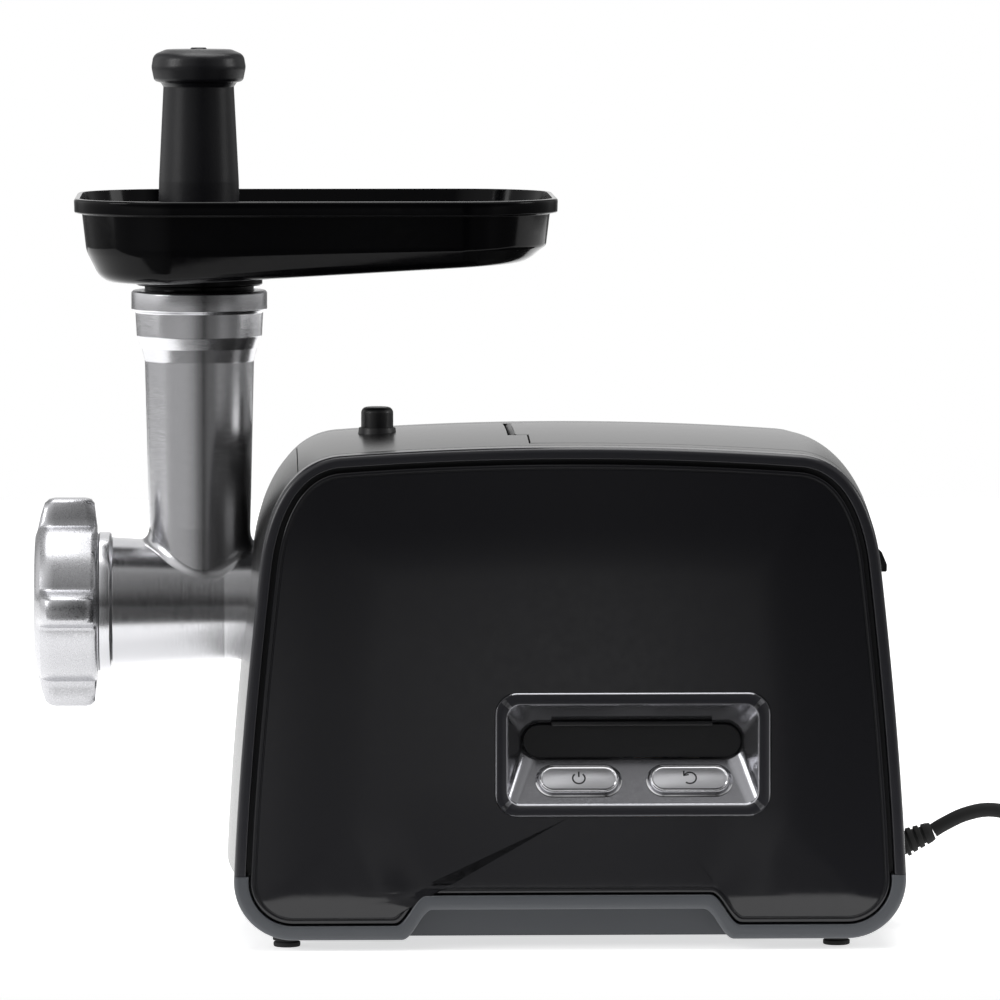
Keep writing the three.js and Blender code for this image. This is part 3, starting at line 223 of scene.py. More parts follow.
NATURAL_NYLON = Finish("natural_nylon", (0.7, 0.67, 0.58), 0.45, bump=0.05)
BRASS = Finish("sintered_brass", (0.7, 0.5, 0.22), 0.35, 1.0, bump=0.1)
COPPER = Finish(
    "varnished_copper", (0.62, 0.26, 0.12), 0.3, 1.0, texture=Texture.BRUSHED_X, scale=1500, bump=0.4
)
LAMINATION = Finish(
    "steel_laminations", (0.3, 0.31, 0.32), 0.4, 1.0, texture=Texture.TURNED_X, scale=1800, bump=0.5
)
BOARD = Finish("circuit_board", (0.02, 0.13, 0.05), 0.4, bump=0.05)
INK = Finish("symbol_ink", (0.01, 0.01, 0.012), 0.4, bump=0.02)

BY_SLOT = {
    "casing_gloss": PANEL_GLOSS, "frame_gloss": FRAME_GLOSS, "cover_gloss": COVER_GLOSS,
    "trim_grey": TRIM_SATIN, "rubber": RUBBER, "black_plastic": BLACK_SATIN, "tray_black": TRAY_GLOSS,
    "pusher_black": PUSHER_SATIN, "bezel_chrome": SMOKED_CHROME, "button_steel": BUTTON_STEEL,
    "steel": STEEL, "grey_plastic": GREY_NYLON, "nylon": NATURAL_NYLON, "brass": BRASS, "copper": COPPER,
    "lamination": LAMINATION, "board_green": BOARD, "polished_aluminium": ALUMINIUM_X,
}


# ---------------------------------------------------------------- shaping helpers
def lerp(a: float, b: float, share: float) -> float:
    """Return the number that lies at share of the way from a to b."""
    return a + (b - a) * share


def rounded(
    corners: Sequence[Point3], steps: int = 6, closed: bool = False
) -> list[Point2]:
    """Round the corners of a path.

    Args:
        corners: each corner's two coordinates and the radius that it is rounded by.
        steps: how many chords a rounded corner has.
        closed: whether the last corner joins the first.

    Returns:
        The points of the rounded path.
    """
    points: list[Point2] = []
    count = len(corners)
    for i, (x, y, radius) in enumerate(corners):
        if radius <= 0 or (not closed and i in (0, count - 1)):
            points.append((x, y))
            continue
        here = Vector((x, y))
        back = Vector(corners[i - 1][:2]) - here
        ahead = Vector(corners[(i + 1) % count][:2]) - here
        turn = back.angle(ahead)
        reach = min(radius / math.tan(turn / 2), back.length * 0.49, ahead.length * 0.49)
        start, end = here + back.normalized() * reach, here + ahead.normalized() * reach
        bow = reach * math.tan(turn / 2)
        centre = here + (start + end - here * 2).normalized() * (bow / math.sin(turn / 2))
        a0 = math.atan2(*(start - centre).yx)
        sweep = (math.atan2(*(end - centre).yx) - a0 + math.pi) % FULL_TURN - math.pi
        for s in range(steps + 1):
            a = a0 + sweep * s / steps
            points.append((centre.x + bow * math.cos(a), centre.y + bow * math.sin(a)))
    return points


def rounded_rectangle(width: float, height: float, radius: float, steps: int = 10) -> list[Point2]:
    """Return a rounded rectangle about the origin, counter-clockwise from its right side."""
    w, h = width / 2, height / 2
    return rounded([(w, -h, radius), (w, h, radius), (-w, h, radius), (-w, -h, radius)], steps, closed=True)


def circle(radius: float, count: int, start: float = 0.0) -> list[Point2]:
    """Return a circle's points about the origin, counter-clockwise from the angle start."""
    angles = (start + FULL_TURN * i / count for i in range(count))
    return [(radius * math.cos(a), radius * math.sin(a)) for a in angles]


def arc(radius: float, start: int, stop: int, step: int = 14) -> list[Point2]:
    """Return the points of an arc about the origin, its angles in degrees."""
    angles = (math.radians(a) for a in range(start, stop, step))
    return [(radius * math.cos(a), radius * math.sin(a)) for a in angles]


def smooth_step(low: float, high: float, value: float) -> float:
    """Rise smoothly from 0 at low to 1 at high."""
    share = min(1.0, max(0.0, (value - low) / (high - low)))
    return share * share * (3 - 2 * share)


def skin(
    rings: Sequence[Ring], looped: bool = True, caps: bool = False, tube: bool = False
) -> bmesh.types.BMesh:
    """Extrude a line of edges from ring to ring.

    Args:
        rings: rings of equally many points, each the next place of the extruded edges.
        looped: whether each ring closes on itself.
        caps: whether the first and last rings are filled.
        tube: whether the last ring joins the first.

    Returns:
        The mesh, with its faces pointing outwards where it is closed.
    """
    bm = bmesh.new()
    verts = [bm.verts.new(p) for p in rings[0]]
    partners = verts[1:] + (verts[:1] if looped else [])
    edges = [bm.edges.new(pair) for pair in zip(verts, partners)]
    if caps:
        bmesh.ops.edgeloop_fill(bm, edges=edges)
    for ring in [*rings[1:], *([rings[0]] if tube else [])]:
        made = bmesh.ops.extrude_edge_only(bm, edges=edges)["geom"]
        fresh = {v for v in made if isinstance(v, bmesh.types.BMVert)}
        verts = [next(e.other_vert(v) for e in v.link_edges if e.other_vert(v) in fresh) for v in verts]
        edges = [e for e in made if isinstance(e, bmesh.types.BMEdge) and all(v in fresh for v in e.verts)]
        for vert, point in zip(verts, ring):
            vert.co = point
    if caps:
        bmesh.ops.edgeloop_fill(bm, edges=edges)
    bmesh.ops.remove_doubles(bm, verts=bm.verts, dist=SAME_POINT)
    bmesh.ops.recalc_face_normals(bm, faces=bm.faces)
    return bm


class Axis(Enum):
    """The axis that a turned piece is turned about."""

    X = "x"
    Y = "y"
    Z = "z"


TURNS = {
    Axis.X: Matrix.Rotation(math.pi / 2, 4, "Y"),
    Axis.Y: Matrix.Rotation(-math.pi / 2, 4, "X"),
    Axis.Z: Matrix.Identity(4),
}


def turned(profile: Sequence[Point2], axis: Axis, at: Vector, steps: int = 96) -> bmesh.types.BMesh:
    """Spin a profile into a turned piece.

    Args:
        profile: pairs of radius and place along the axis, from one end to the other.
        axis: the axis to turn about.
        at: a point on that axis, from which the profile's places are counted.
        steps: how many facets go round.

    Returns:
        The turned mesh.
    """
    bm = bmesh.new()
    verts = [bm.verts.new((r, 0, h)) for r, h in profile]
    edges = [bm.edges.new(pair) for pair in zip(verts, verts[1:])]
    bmesh.ops.spin(
        bm, geom=[*verts, *edges], cent=(0, 0, 0), axis=(0, 0, 1),
        angle=FULL_TURN, steps=steps, use_merge=True,
    )
    bmesh.ops.remove_doubles(bm, verts=bm.verts, dist=SAME_POINT)
    bmesh.ops.recalc_face_normals(bm, faces=bm.faces)
    bm.transform(Matrix.Translation(at) @ TURNS[axis])
    return bm


def merged(*meshes: bmesh.types.BMesh) -> bmesh.types.BMesh:
    """Gather several meshes into one and free them."""
    whole = bmesh.new()
    for bm in meshes:
        carrier = bpy.data.meshes.new("carrier")
        bm.to_mesh(carrier)
        whole.from_mesh(carrier)
        bpy.data.meshes.remove(carrier)
        bm.free()
    return whole


def painted(bm: bmesh.types.BMesh, index: int) -> bmesh.types.BMesh:
    """Give every face of a mesh one material index."""
    for face in bm.faces:
        face.material_index = index
    return bm


def box_mesh(low: Vector, high: Vector, bevel: float = 0.0, segments: int = 3) -> bmesh.types.BMesh:
    """Make a block between two corners, its edges rounded by bevel."""
    bm = bmesh.new()
    bmesh.ops.create_cube(bm, size=1)
    bmesh.ops.scale(bm, vec=high - low, verts=bm.verts)
    bmesh.ops.translate(bm, vec=(low + high) / 2, verts=bm.verts)
    if bevel:
        bmesh.ops.bevel(
            bm, geom=bm.edges, offset=bevel, affect="EDGES", segments=segments, profile=0.5, material=-1
        )
    return bm


def split(bm: bmesh.types.BMesh, at: Vector, away: Vector, drop: bool = False) -> list[bmesh.types.BMEdge]:
    """Cut a mesh along a plane.

    Args:
        bm: the mesh.
        at: a point on the plane.
        away: the plane's normal.
        drop: whether the side that the normal points to is taken away.

    Returns:
        The edges of the cut.
    """
    geometry = [*bm.verts, *bm.edges, *bm.faces]
    made = bmesh.ops.bisect_plane(
        bm, geom=geometry, dist=SAME_POINT, plane_co=at, plane_no=away, clear_outer=drop
    )
    return [e for e in made["geom_cut"] if isinstance(e, bmesh.types.BMEdge)]


def keep(bm: bmesh.types.BMesh, at: Vector, away: Vector, fill_cut: bool = False) -> None:
    """Cut a mesh with a plane, drop what lies on its outer side and close the cut when asked."""
    edges = split(bm, at, away, drop=True)
    if fill_cut:
        bmesh.ops.holes_fill(bm, edges=edges, sides=0)
        bmesh.ops.recalc_face_normals(bm, faces=bm.faces)


def faced(bm: bmesh.types.BMesh, way: Vector) -> bmesh.types.BMesh:
    """Turn an open mesh over where its faces point away from way on the whole."""
    if sum(f.normal.dot(way) * f.calc_area() for f in bm.faces) < 0:
        bmesh.ops.reverse_faces(bm, faces=bm.faces)
    return bm


def piece(
    name: str,
    bm: bmesh.types.BMesh,
    finishes: Iterable[Finish],
    body: str,
    nodes: Iterable[str] = (),
    sharp: float = 32.0,
) -> bpy.types.Object:
    """Turn a mesh into a finished piece of the machine.

    Args:
        name: the piece's name.
        bm: its mesh, which is freed.
        finishes: its finishes, in the order of the faces' material indices.
        body: the body that it rides on.
        nodes: the CAD nodes that it stands for.
        sharp: the angle in degrees above which an edge stays sharp.

    Returns:
        The new object.
    """
    mesh = bpy.data.meshes.new(name)
    bm.to_mesh(mesh)
    bm.free()
    mesh.shade_smooth()
    mesh.set_sharp_from_angle(angle=math.radians(sharp))
    for finish in finishes:
        mesh.materials.append(finish.material())
    made = bpy.data.objects.new(name, mesh)
    bpy.context.scene.collection.objects.link(made)
    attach(made, body)
    if nodes:
        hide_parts(*nodes)
    LOG.info("%s: %d faces, rides on %s", name, len(mesh.polygons), body)
    return made


BEVEL_LIMIT = math.radians(40)


def soften(made: bpy.types.Object, width: float, segments: int = 3, thickness: float = 0.0) -> None:
    """Finish a piece with a wall and rounded edges.

    Args:
        made: the piece.
        width: the radius of its rounded edges.
        segments: how many chords round an edge.
        thickness: the wall that is added inwards first, or 0 for a closed piece.
    """
    if thickness:
        wall = made.modifiers.new("wall", "SOLIDIFY")
        wall.thickness = thickness
        wall.offset = -1
        wall.use_even_offset = True
    edge = made.modifiers.new("edge", "BEVEL")
    edge.width = width
    edge.segments = segments
    edge.limit_method = "ANGLE"
    edge.angle_limit = BEVEL_LIMIT
    edge.harden_normals = True


# ---------------------------------------------------------------- the casing
@dataclass
class Casing:
    """The motor base's shells: two framed side panels, the covers between them and the base trim."""

    corner: float = 0.025
    crown: float = 0.003
    seam_z: float = 0.0316
    frame_width: float = 0.0049
    trim_width: float = 0.0062
    groove: float = 0.0071
    panel_sag: float = 0.0009
    pillow: float = 0.045
    arch_left: float = 0.058
    arch_right: float = 0.056
    arch_run: float = 0.013
    arch_rise: float = 0.0128
    wall: float = 0.0022
    seam_half_gap: float = 0.0002
    knuckle: float = 0.0023
    hinge_z: float = 0.2124
    fan_height: float = 0.138
    fan_stretch: float = 1.6
    shoulder_drop: float = 0.0495
    side_lean: tuple[float, float] = (0.0022, 0.0113)
    shoulder_bend: tuple[Point2, ...] = ((0.0138, 0.0285), (0.0228, 0.0055), (0.0448, 0.0035))
    panel_back: float = 0.0072
    rim_back: float = 0.0075
    face_rings: int = 40

    def __post_init__(self) -> None:
        """Take the casing's overall sizes from the frame."""
        low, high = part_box("base")
        self.middle = (low[0] + high[0]) / 2
        self.half = (high[0] - low[0]) / 2
        self.floor = low[2]
        self.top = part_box("side_frame_near")[1][2]
        self.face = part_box("side_panel_far")[1][1]
        self.cover_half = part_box("top_cover")[1][1]
        self.seam_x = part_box("front_fascia")[1][0]
        self.lid_low, self.lid_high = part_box("storage_lid")

    def build(self) -> None:
        """Make every shell of the casing."""
        for side, word in ((-1, "near"), (1, "far")):
            self.side_frame(side, word)
            self.side_panel(side, word)
        self.base()
        self.covers()
        for end in ("front", "rear"):
            for word in ("near", "far"):
                self.foot(f"foot_{end}_{word}")

    # -- the side outline
    def outline(self, inset: float = 0.0, fine: int = 16) -> list[Point2]:
        """Return the casing's side outline, drawn in by inset.

        Args:
            inset: how far inside the outline the path runs.
            fine: how many chords each curved stretch has.

        Returns:
            Points of x and z, counter-clockwise from the middle of the bottom.
        """
        h, t, c = self.half, self.top, self.corner
        right = [Vector((h * i / 8, self.floor)) for i in range(7)]
        for i in range(fine + 1):
            a = -math.pi / 2 + (math.pi / 2) * i / fine
            right.append(Vector((h - c + c * math.cos(a), self.floor + c + c * math.sin(a))))
        shoulder = t - self.shoulder_drop
        waist = Vector((h - self.side_lean[0], (self.floor + shoulder) / 2))
        side = [Vector((h, self.floor + c)), waist, Vector((h - self.side_lean[1], shoulder))]
        bend = [side[2], *(Vector((h - x, t - z)) for x, z in self.shoulder_bend)]
        crown = [bend[3], Vector(((h - self.shoulder_bend[2][0]) / 2, t)), Vector((0, t))]
        for controls, count in ((side, fine), (bend, fine * 2), (crown, fine)):
            right += [self._bezier(controls, (i + 1) / count) for i in range(count)]
        left = [Vector((-p.x, p.y)) for p in reversed(right[1:-1])]
        ring = right + left
        result: list[Point2] = []
        for i, p in enumerate(ring):
            along = (ring[(i + 1) % len(ring)] - ring[i - 1]).normalized()
            result.append((self.middle + p.x - along.y * inset, p.y + along.x * inset))
        return result

    @staticmethod
    def _bezier(controls: Sequence[Vector], share: float) -> Vector:
        """Return the point at share of the way along a Bezier curve."""
        points = list(controls)
        while len(points) > 1:
            points = [a.lerp(b, share) for a, b in zip(points, points[1:])]
        return points[0]

    def arched(self, inset: float, fine: int = 16) -> list[Point2]:
        """Return the side outline with the finger arch in its bottom edge, drawn in by inset."""
        ring = self.outline(inset, fine)
        flat_end = self.half - self.corner
        upper = [p for p in ring if abs(p[0] - self.middle) > flat_end + 1e-5 or p[1] > self.top / 2]
        start = next(i for i, p in enumerate(upper) if p[0] > self.middle and p[1] < self.top / 2)
        upper = upper[start:] + upper[:start]
        shift = inset * 0.45
        z_low, z_high = self.floor + inset, self.floor + inset + self.arch_rise

        def slope(edge: float, sign: int) -> list[Point2]:
            """Return one S-shaped end of the arch, from its top outwards."""
            run = [(i / 14, (1 + math.cos(math.pi * i / 14)) / 2) for i in range(15)]
            return [
                (self.middle + sign * (edge + shift + s * self.arch_run), lerp(z_low, z_high, k))
                for s, k in run
            ]

        right = [(self.middle + self.arch_right * i / 6, z_high) for i in range(6)] + slope(
            self.arch_right, 1
        )
        flats = [(self.middle - self.arch_left * i / 6, z_high) for i in range(1, 6)]
        left = (flats + slope(self.arch_left, -1))[::-1]
        right_end, left_end = (edge + shift + self.arch_run for edge in (self.arch_right, self.arch_left))
        right += [(self.middle + lerp(right_end, flat_end, i / 4), z_low) for i in range(1, 5)]
        left = [(self.middle - lerp(flat_end, left_end, i / 4), z_low) for i in range(4)] + left
        return right + upper + left

    @staticmethod
    def _swept(
        path_at: Callable[[float], list[Point2]], section: Sequence[Point2], side: int
    ) -> list[Ring]:
        """Sweep a section round a side outline.

        Args:
            path_at: gives the outline drawn in by an inset.
            section: pairs of inset and depth.
            side: -1 for the near side and 1 for the far one.

        Returns:
            One ring for each point of the section.
        """
        return [[Vector((x, side * y, z)) for x, z in path_at(inset)] for inset, y in section]

    # -- pieces
    def side_frame(self, side: int, word: str) -> None:
        """Make the rounded rim round one side panel, down to the trim."""
        w, inner = self.frame_width, 0.013
        face, back, rear = self.face - 0.0003, self.face - self.rim_back, self.cover_half + 0.0005
        section = rounded(
            [
                (0, rear, 0.0003), (0, face, 0.0043), (w, face, 0.0006), (w, back, 0.0003),
                (inner, back, 0), (inner, rear, 0)
            ],
            8,
            closed=True,
        )
        bm = skin(self._swept(self.outline, section, side), tube=True)
        keep(bm, Vector((0, 0, self.seam_z + self.seam_half_gap)), Vector((0, 0, -1)), fill_cut=True)
        piece(f"side_frame_{word}_rim", bm, [FRAME_GLOSS], "root", [f"side_frame_{word}"])

    def side_panel(self, side: int, word: str) -> None:
        """Make one glossy side panel: a rounded lip, a fine groove and a face that is slightly pillowed."""
        g, edge_y = self.groove, self.face - self.panel_sag
        bottom_y = edge_y - 0.0004
        lip = rounded(
            [
                (g, self.face - self.panel_back, 0), (g, edge_y, 0.0006), (g + 0.0016, edge_y, 0.0002),
                (g + 0.0019, bottom_y, 0.0001), (g + 0.0023, bottom_y, 0.0001),
                (g + 0.0026, edge_y, 0.0002),
            ],
            5,
        )
        rings = self._swept(self.arched, lip, side)
        rim = rings[-1]
        hub = self._panel_hub(rim, side)
        edges = list(zip(rim, [*rim[1:], rim[0]]))
        marks = 8
        tree = KDTree(len(edges) * marks)
        for i, (a, b) in enumerate(edges):
            for k in range(marks):
                tree.insert(a.lerp(b, (k + 0.5) / marks), i)
        tree.balance()

        def from_rim(p: Vector) -> float:
            """Return the distance from a point of the face to the rim."""
            nearest = tree.find(p)[1]
            around = [edges[(nearest + k) % len(edges)] for k in (-1, 0, 1)]
            feet = [(intersect_point_line(p, a, b), a, b) for a, b in around]
            return min((p - a.lerp(b, min(1.0, max(0.0, along)))).length for (_, along), a, b in feet)

        for step in range(1, self.face_rings + 1):
            share = (step / self.face_rings) ** 1.25
            ring = []
            for outer, inner in zip(rim, hub):
                p = outer.lerp(inner, share)
                p.y = rim[0].y
                gone = min(1.0, from_rim(p) / self.pillow)
                p.y = side * (self.face - self.panel_sag * (1 - gone) ** 2.2)
                ring.append(p)
            rings.append(ring)
        if side < 0:
            rings.append([Vector((p.x, p.y + 0.004, p.z)) for p in rings[-1]])
        bm = skin(rings)
        if side > 0:
            open_edges = [e for e in bm.edges if e.is_boundary and e.verts[0].co.y > self.face - 0.001]
            bmesh.ops.holes_fill(bm, edges=open_edges, sides=0)
        bmesh.ops.recalc_face_normals(bm, faces=bm.faces)
        faced(bm, Vector((0, side, 0)))
        piece(f"side_panel_{word}_face", bm, [PANEL_GLOSS], "root", [f"side_panel_{word}"])

    def _panel_hub(self, rim: Ring, side: int) -> Ring:
        """Return the ring that the panel's face runs in to: the controls' opening, or a small ring."""
        low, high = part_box("control_bezel")
        if side > 0:
            centre, path = Vector((self.middle, 0, 0.11)), rounded_rectangle(0.04, 0.02, 0.009)
        else:
            centre = Vector(((low[0] + high[0]) / 2, 0, (low[2] + high[2]) / 2))
            path = rounded_rectangle(high[0] - low[0] + 0.0004, high[2] - low[2] + 0.0004, 0.0096, 14)
        angles = [math.atan2(y * self.fan_stretch, x) for x, y in path]
        stretches = list(zip(path, [*path[1:], path[0]], angles, [*angles[1:], angles[0]]))
        ring: Ring = []
        for p in rim:
            wanted = math.atan2((p.z - self.fan_height) * self.fan_stretch, p.x - centre.x)
            for start, end, low_angle, high_angle in stretches:
                span, gone = (high_angle - low_angle) % FULL_TURN, (wanted - low_angle) % FULL_TURN
                if gone <= span + 1e-9:
                    share = gone / span if span else 0.0
                    u, v = (lerp(a, b, share) for a, b in zip(start, end))
                    ring.append(Vector((centre.x + u, rim[0].y, centre.z + v)))
                    break
        return ring

    def base(self) -> None:
        """Make the base: the tub under the machine and the trim that frames each side panel's foot."""
        seam, w, face = self.cover_half - 0.0005, self.trim_width, self.face - 0.0004
        cut_at, upward = Vector((0, 0, self.seam_z)), Vector((0, 0, 1))
        section = rounded(
            [
                (0, seam + 0.0004, 0.0003), (0, face, 0.0022), (w, face, 0.0008),
                (w, seam + 0.005, 0), (0.0022, seam + 0.005, 0), (0.0022, seam + 0.0004, 0),
            ],
            6,
            closed=True,
        )
        parts = [skin(self._swept(self.outline, [(0.0002, -seam), (0.0002, seam)], 1), caps=True)]
        parts += [skin(self._swept(self.arched, section, side), tube=True) for side in (-1, 1)]
        for part in parts:
            keep(part, cut_at, upward, fill_cut=True)
        parts += self._screws()
        piece("base_trim", merged(*parts), [TRIM_SATIN, BLACK_SATIN], "root", ["base"])

    def _screws(self) -> list[bmesh.types.BMesh]:
        """Return the four screw wells under the base."""
        r, r_in, high, deep = 0.0058, 0.0042, 0.0002, -0.0009
        profile = rounded(
            [(r, high, 0), (r, deep, 0.0004), (r_in, deep, 0.0003), (r_in, high, 0), (0, high, 0)], 3
        )
        across = [(sx * self.half * 0.55, sy * self.cover_half * 0.72) for sx in (-1, 1) for sy in (-1, 1)]
        places = [Vector((self.middle + x, y, self.floor)) for x, y in across]
        return [turned(profile, Axis.Z, at, 32) for at in places]

    def covers(self) -> None:
        """Make the fascia, top cover, rear cover and storage lid from one crowned skin."""
        gap = self.seam_half_gap
        lid_z = self.lid_low[2]
        front = self._cover_skin()
        keep(front, Vector((self.seam_x, 0, 0)), Vector((1, 0, 0)))
        self._shell("front_fascia_shell", front, "root", ["front_fascia"])

        rear = self._cover_skin()
        keep(rear, Vector((0, 0, lid_z - gap)), Vector((0, 0, 1)))
        keep(rear, Vector((self.middle, 0, 0)), Vector((-1, 0, 0)))
        self._vents(rear)
        self._shell("rear_cover_shell", rear, "root", ["rear_cover"])

        top = self._cover_skin()
        keep(top, Vector((self.seam_x + 2 * gap, 0, 0)), Vector((-1, 0, 0)))
        keep(top, Vector((0, 0, lid_z)), Vector((0, 0, -1)))
        lid = self._split_lid(top)
        self._shell("top_cover_shell", top, "root", ["top_cover"])
        self._shell("storage_lid_shell", lid, "lid", ["storage_lid"])
        self._lid_details()

    def _shell(self, name: str, bm: bmesh.types.BMesh, body: str, nodes: list[str]) -> None:
        """Turn a cut skin into a walled piece with rounded edges."""
        soften(piece(name, bm, [COVER_GLOSS], body, nodes), 0.0005, thickness=self.wall)

    def _split_lid(self, top: bmesh.types.BMesh) -> bmesh.types.BMesh:
        """Cut the lid, with its hinge tongue, out of the top skin.

        Args:
            top: the top skin, which keeps what isn't the lid.

        Returns:
            The lid's own skin.
        """
        gap, knuckle = 0.0006, 0.0033
        hinge_x = self.lid_low[0] + self.knuckle
        lid_x, half, tongue = hinge_x + 0.0055, -self.lid_low[1], 0.036
        cuts = [(x, 0) for x in (lid_x, lid_x - gap, hinge_x, hinge_x - knuckle)]
        cuts += [(y * side, 1) for y in (half, half + gap, tongue, tongue + gap) for side in (-1, 1)]
        for at, axis in cuts:
            normal = Vector((1 - axis, axis, 0))
            split(top, normal * at, normal)
        lid = top.copy()

        def inside(face: bmesh.types.BMFace, grow: float, reach: float) -> bool:
            """Say whether a face lies in the lid's outline grown by grow, its tongue's front at reach."""
            at = face.calc_center_median()
            main = at.x > lid_x - grow and abs(at.y) < half + grow
            return main or (at.x > reach and abs(at.y) < tongue + grow)

        opening = [f for f in top.faces if inside(f, gap, hinge_x - knuckle)]
        bmesh.ops.delete(top, geom=opening, context="FACES")
        rest = [f for f in lid.faces if not inside(f, 0, hinge_x)]
        bmesh.ops.delete(lid, geom=rest, context="FACES")
        return lid

    def _vents(self, rear: bmesh.types.BMesh) -> None:
        """Cut the row of vent slots out of the rear skin."""
        half, height = 0.032, 0.0016
        levels = [0.078 + 0.0075 * i for i in range(8)]
        cuts = [Vector((0, side * half, 0)) for side in (-1, 1)]
        cuts += [Vector((0, 0, z + side * height)) for z in levels for side in (-1, 1)]
        for at in cuts:
            split(rear, at, at.normalized())
        slots = []
        for face in rear.faces:
            at = face.calc_center_median()
            in_row = at.x > self.middle + self.half * 0.8 and abs(at.y) < half
            if in_row and any(abs(at.z - z) < height for z in levels):
                slots.append(face)
        bmesh.ops.delete(rear, geom=slots, context="FACES")

    def _lid_details(self) -> None:
        """Make the lid's hinge knuckle and its finger lip."""
        r, half = self.knuckle, 0.0359
        at = Vector((self.lid_low[0] + r, 0, self.hinge_z))
        ends = rounded([(0, -half, 0), (r, -half, 0.0004), (r, half, 0.0004), (0, half, 0)], 4)
        knuckle = turned(ends, Axis.Y, at, 40)
        x, z = self.lid_high[0], self.lid_low[2]
        outline = rounded(
            [
                (x - 0.0062, z + 0.0005, 0), (x, z + 0.0005, 0.0008), (x, z + 0.0036, 0.0008),
                (x - 0.0022, z + 0.009, 0.002), (x - 0.0062, z + 0.012, 0.001),
            ],
            4,
            closed=True,
        )
        lip = skin(
            [[Vector((px, y, pz)) for px, pz in outline] for y in (-0.022, -0.0212, 0.0212, 0.022)],
            caps=True
        )
        piece("lid_hinge_and_lip", merged(knuckle, lip), [BLACK_SATIN], "lid")

    def _cover_skin(self) -> bmesh.types.BMesh:
        """Return the crowned skin that wraps the machine between the side frames, open at the bottom."""
        half = self.cover_half
        rows = []
        for i in range(33):
            y = lerp(-half, half, i / 32)
            bow = -self.crown * (1 - (y / half) ** 2)
            rows.append([Vector((x, y, z)) for x, z in self.outline(bow, 20)])
        bm = skin(rows)
        keep(bm, Vector((0, 0, self.seam_z + self.seam_half_gap)), Vector((0, 0, -1)))
        return faced(bm, Vector((0, 0, 1)))

    def foot(self, node: str) -> None:
        """Make one rubber foot: a pad with a groove round it, on a short stem."""
        low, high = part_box(node)
        at = Vector(((low[0] + high[0]) / 2, (low[1] + high[1]) / 2, low[2]))
        r = (high[0] - low[0]) / 2
        top = self.floor - low[2] - 0.0002
        profile = rounded(
            [
                (0, 0, 0), (r - 0.0003, 0, 0.0006), (r - 0.0003, top * 0.45, 0.0003),
                (r - 0.0011, top * 0.5, 0.0002),
                (r - 0.0011, top * 0.6, 0.0002), (r, top * 0.65, 0.0003), (r, top, 0.0004), (0, top, 0),
            ],
            4,
        )
        piece(f"{node}_pad", turned(profile, Axis.Z, at, 48), [RUBBER], "root", [node])


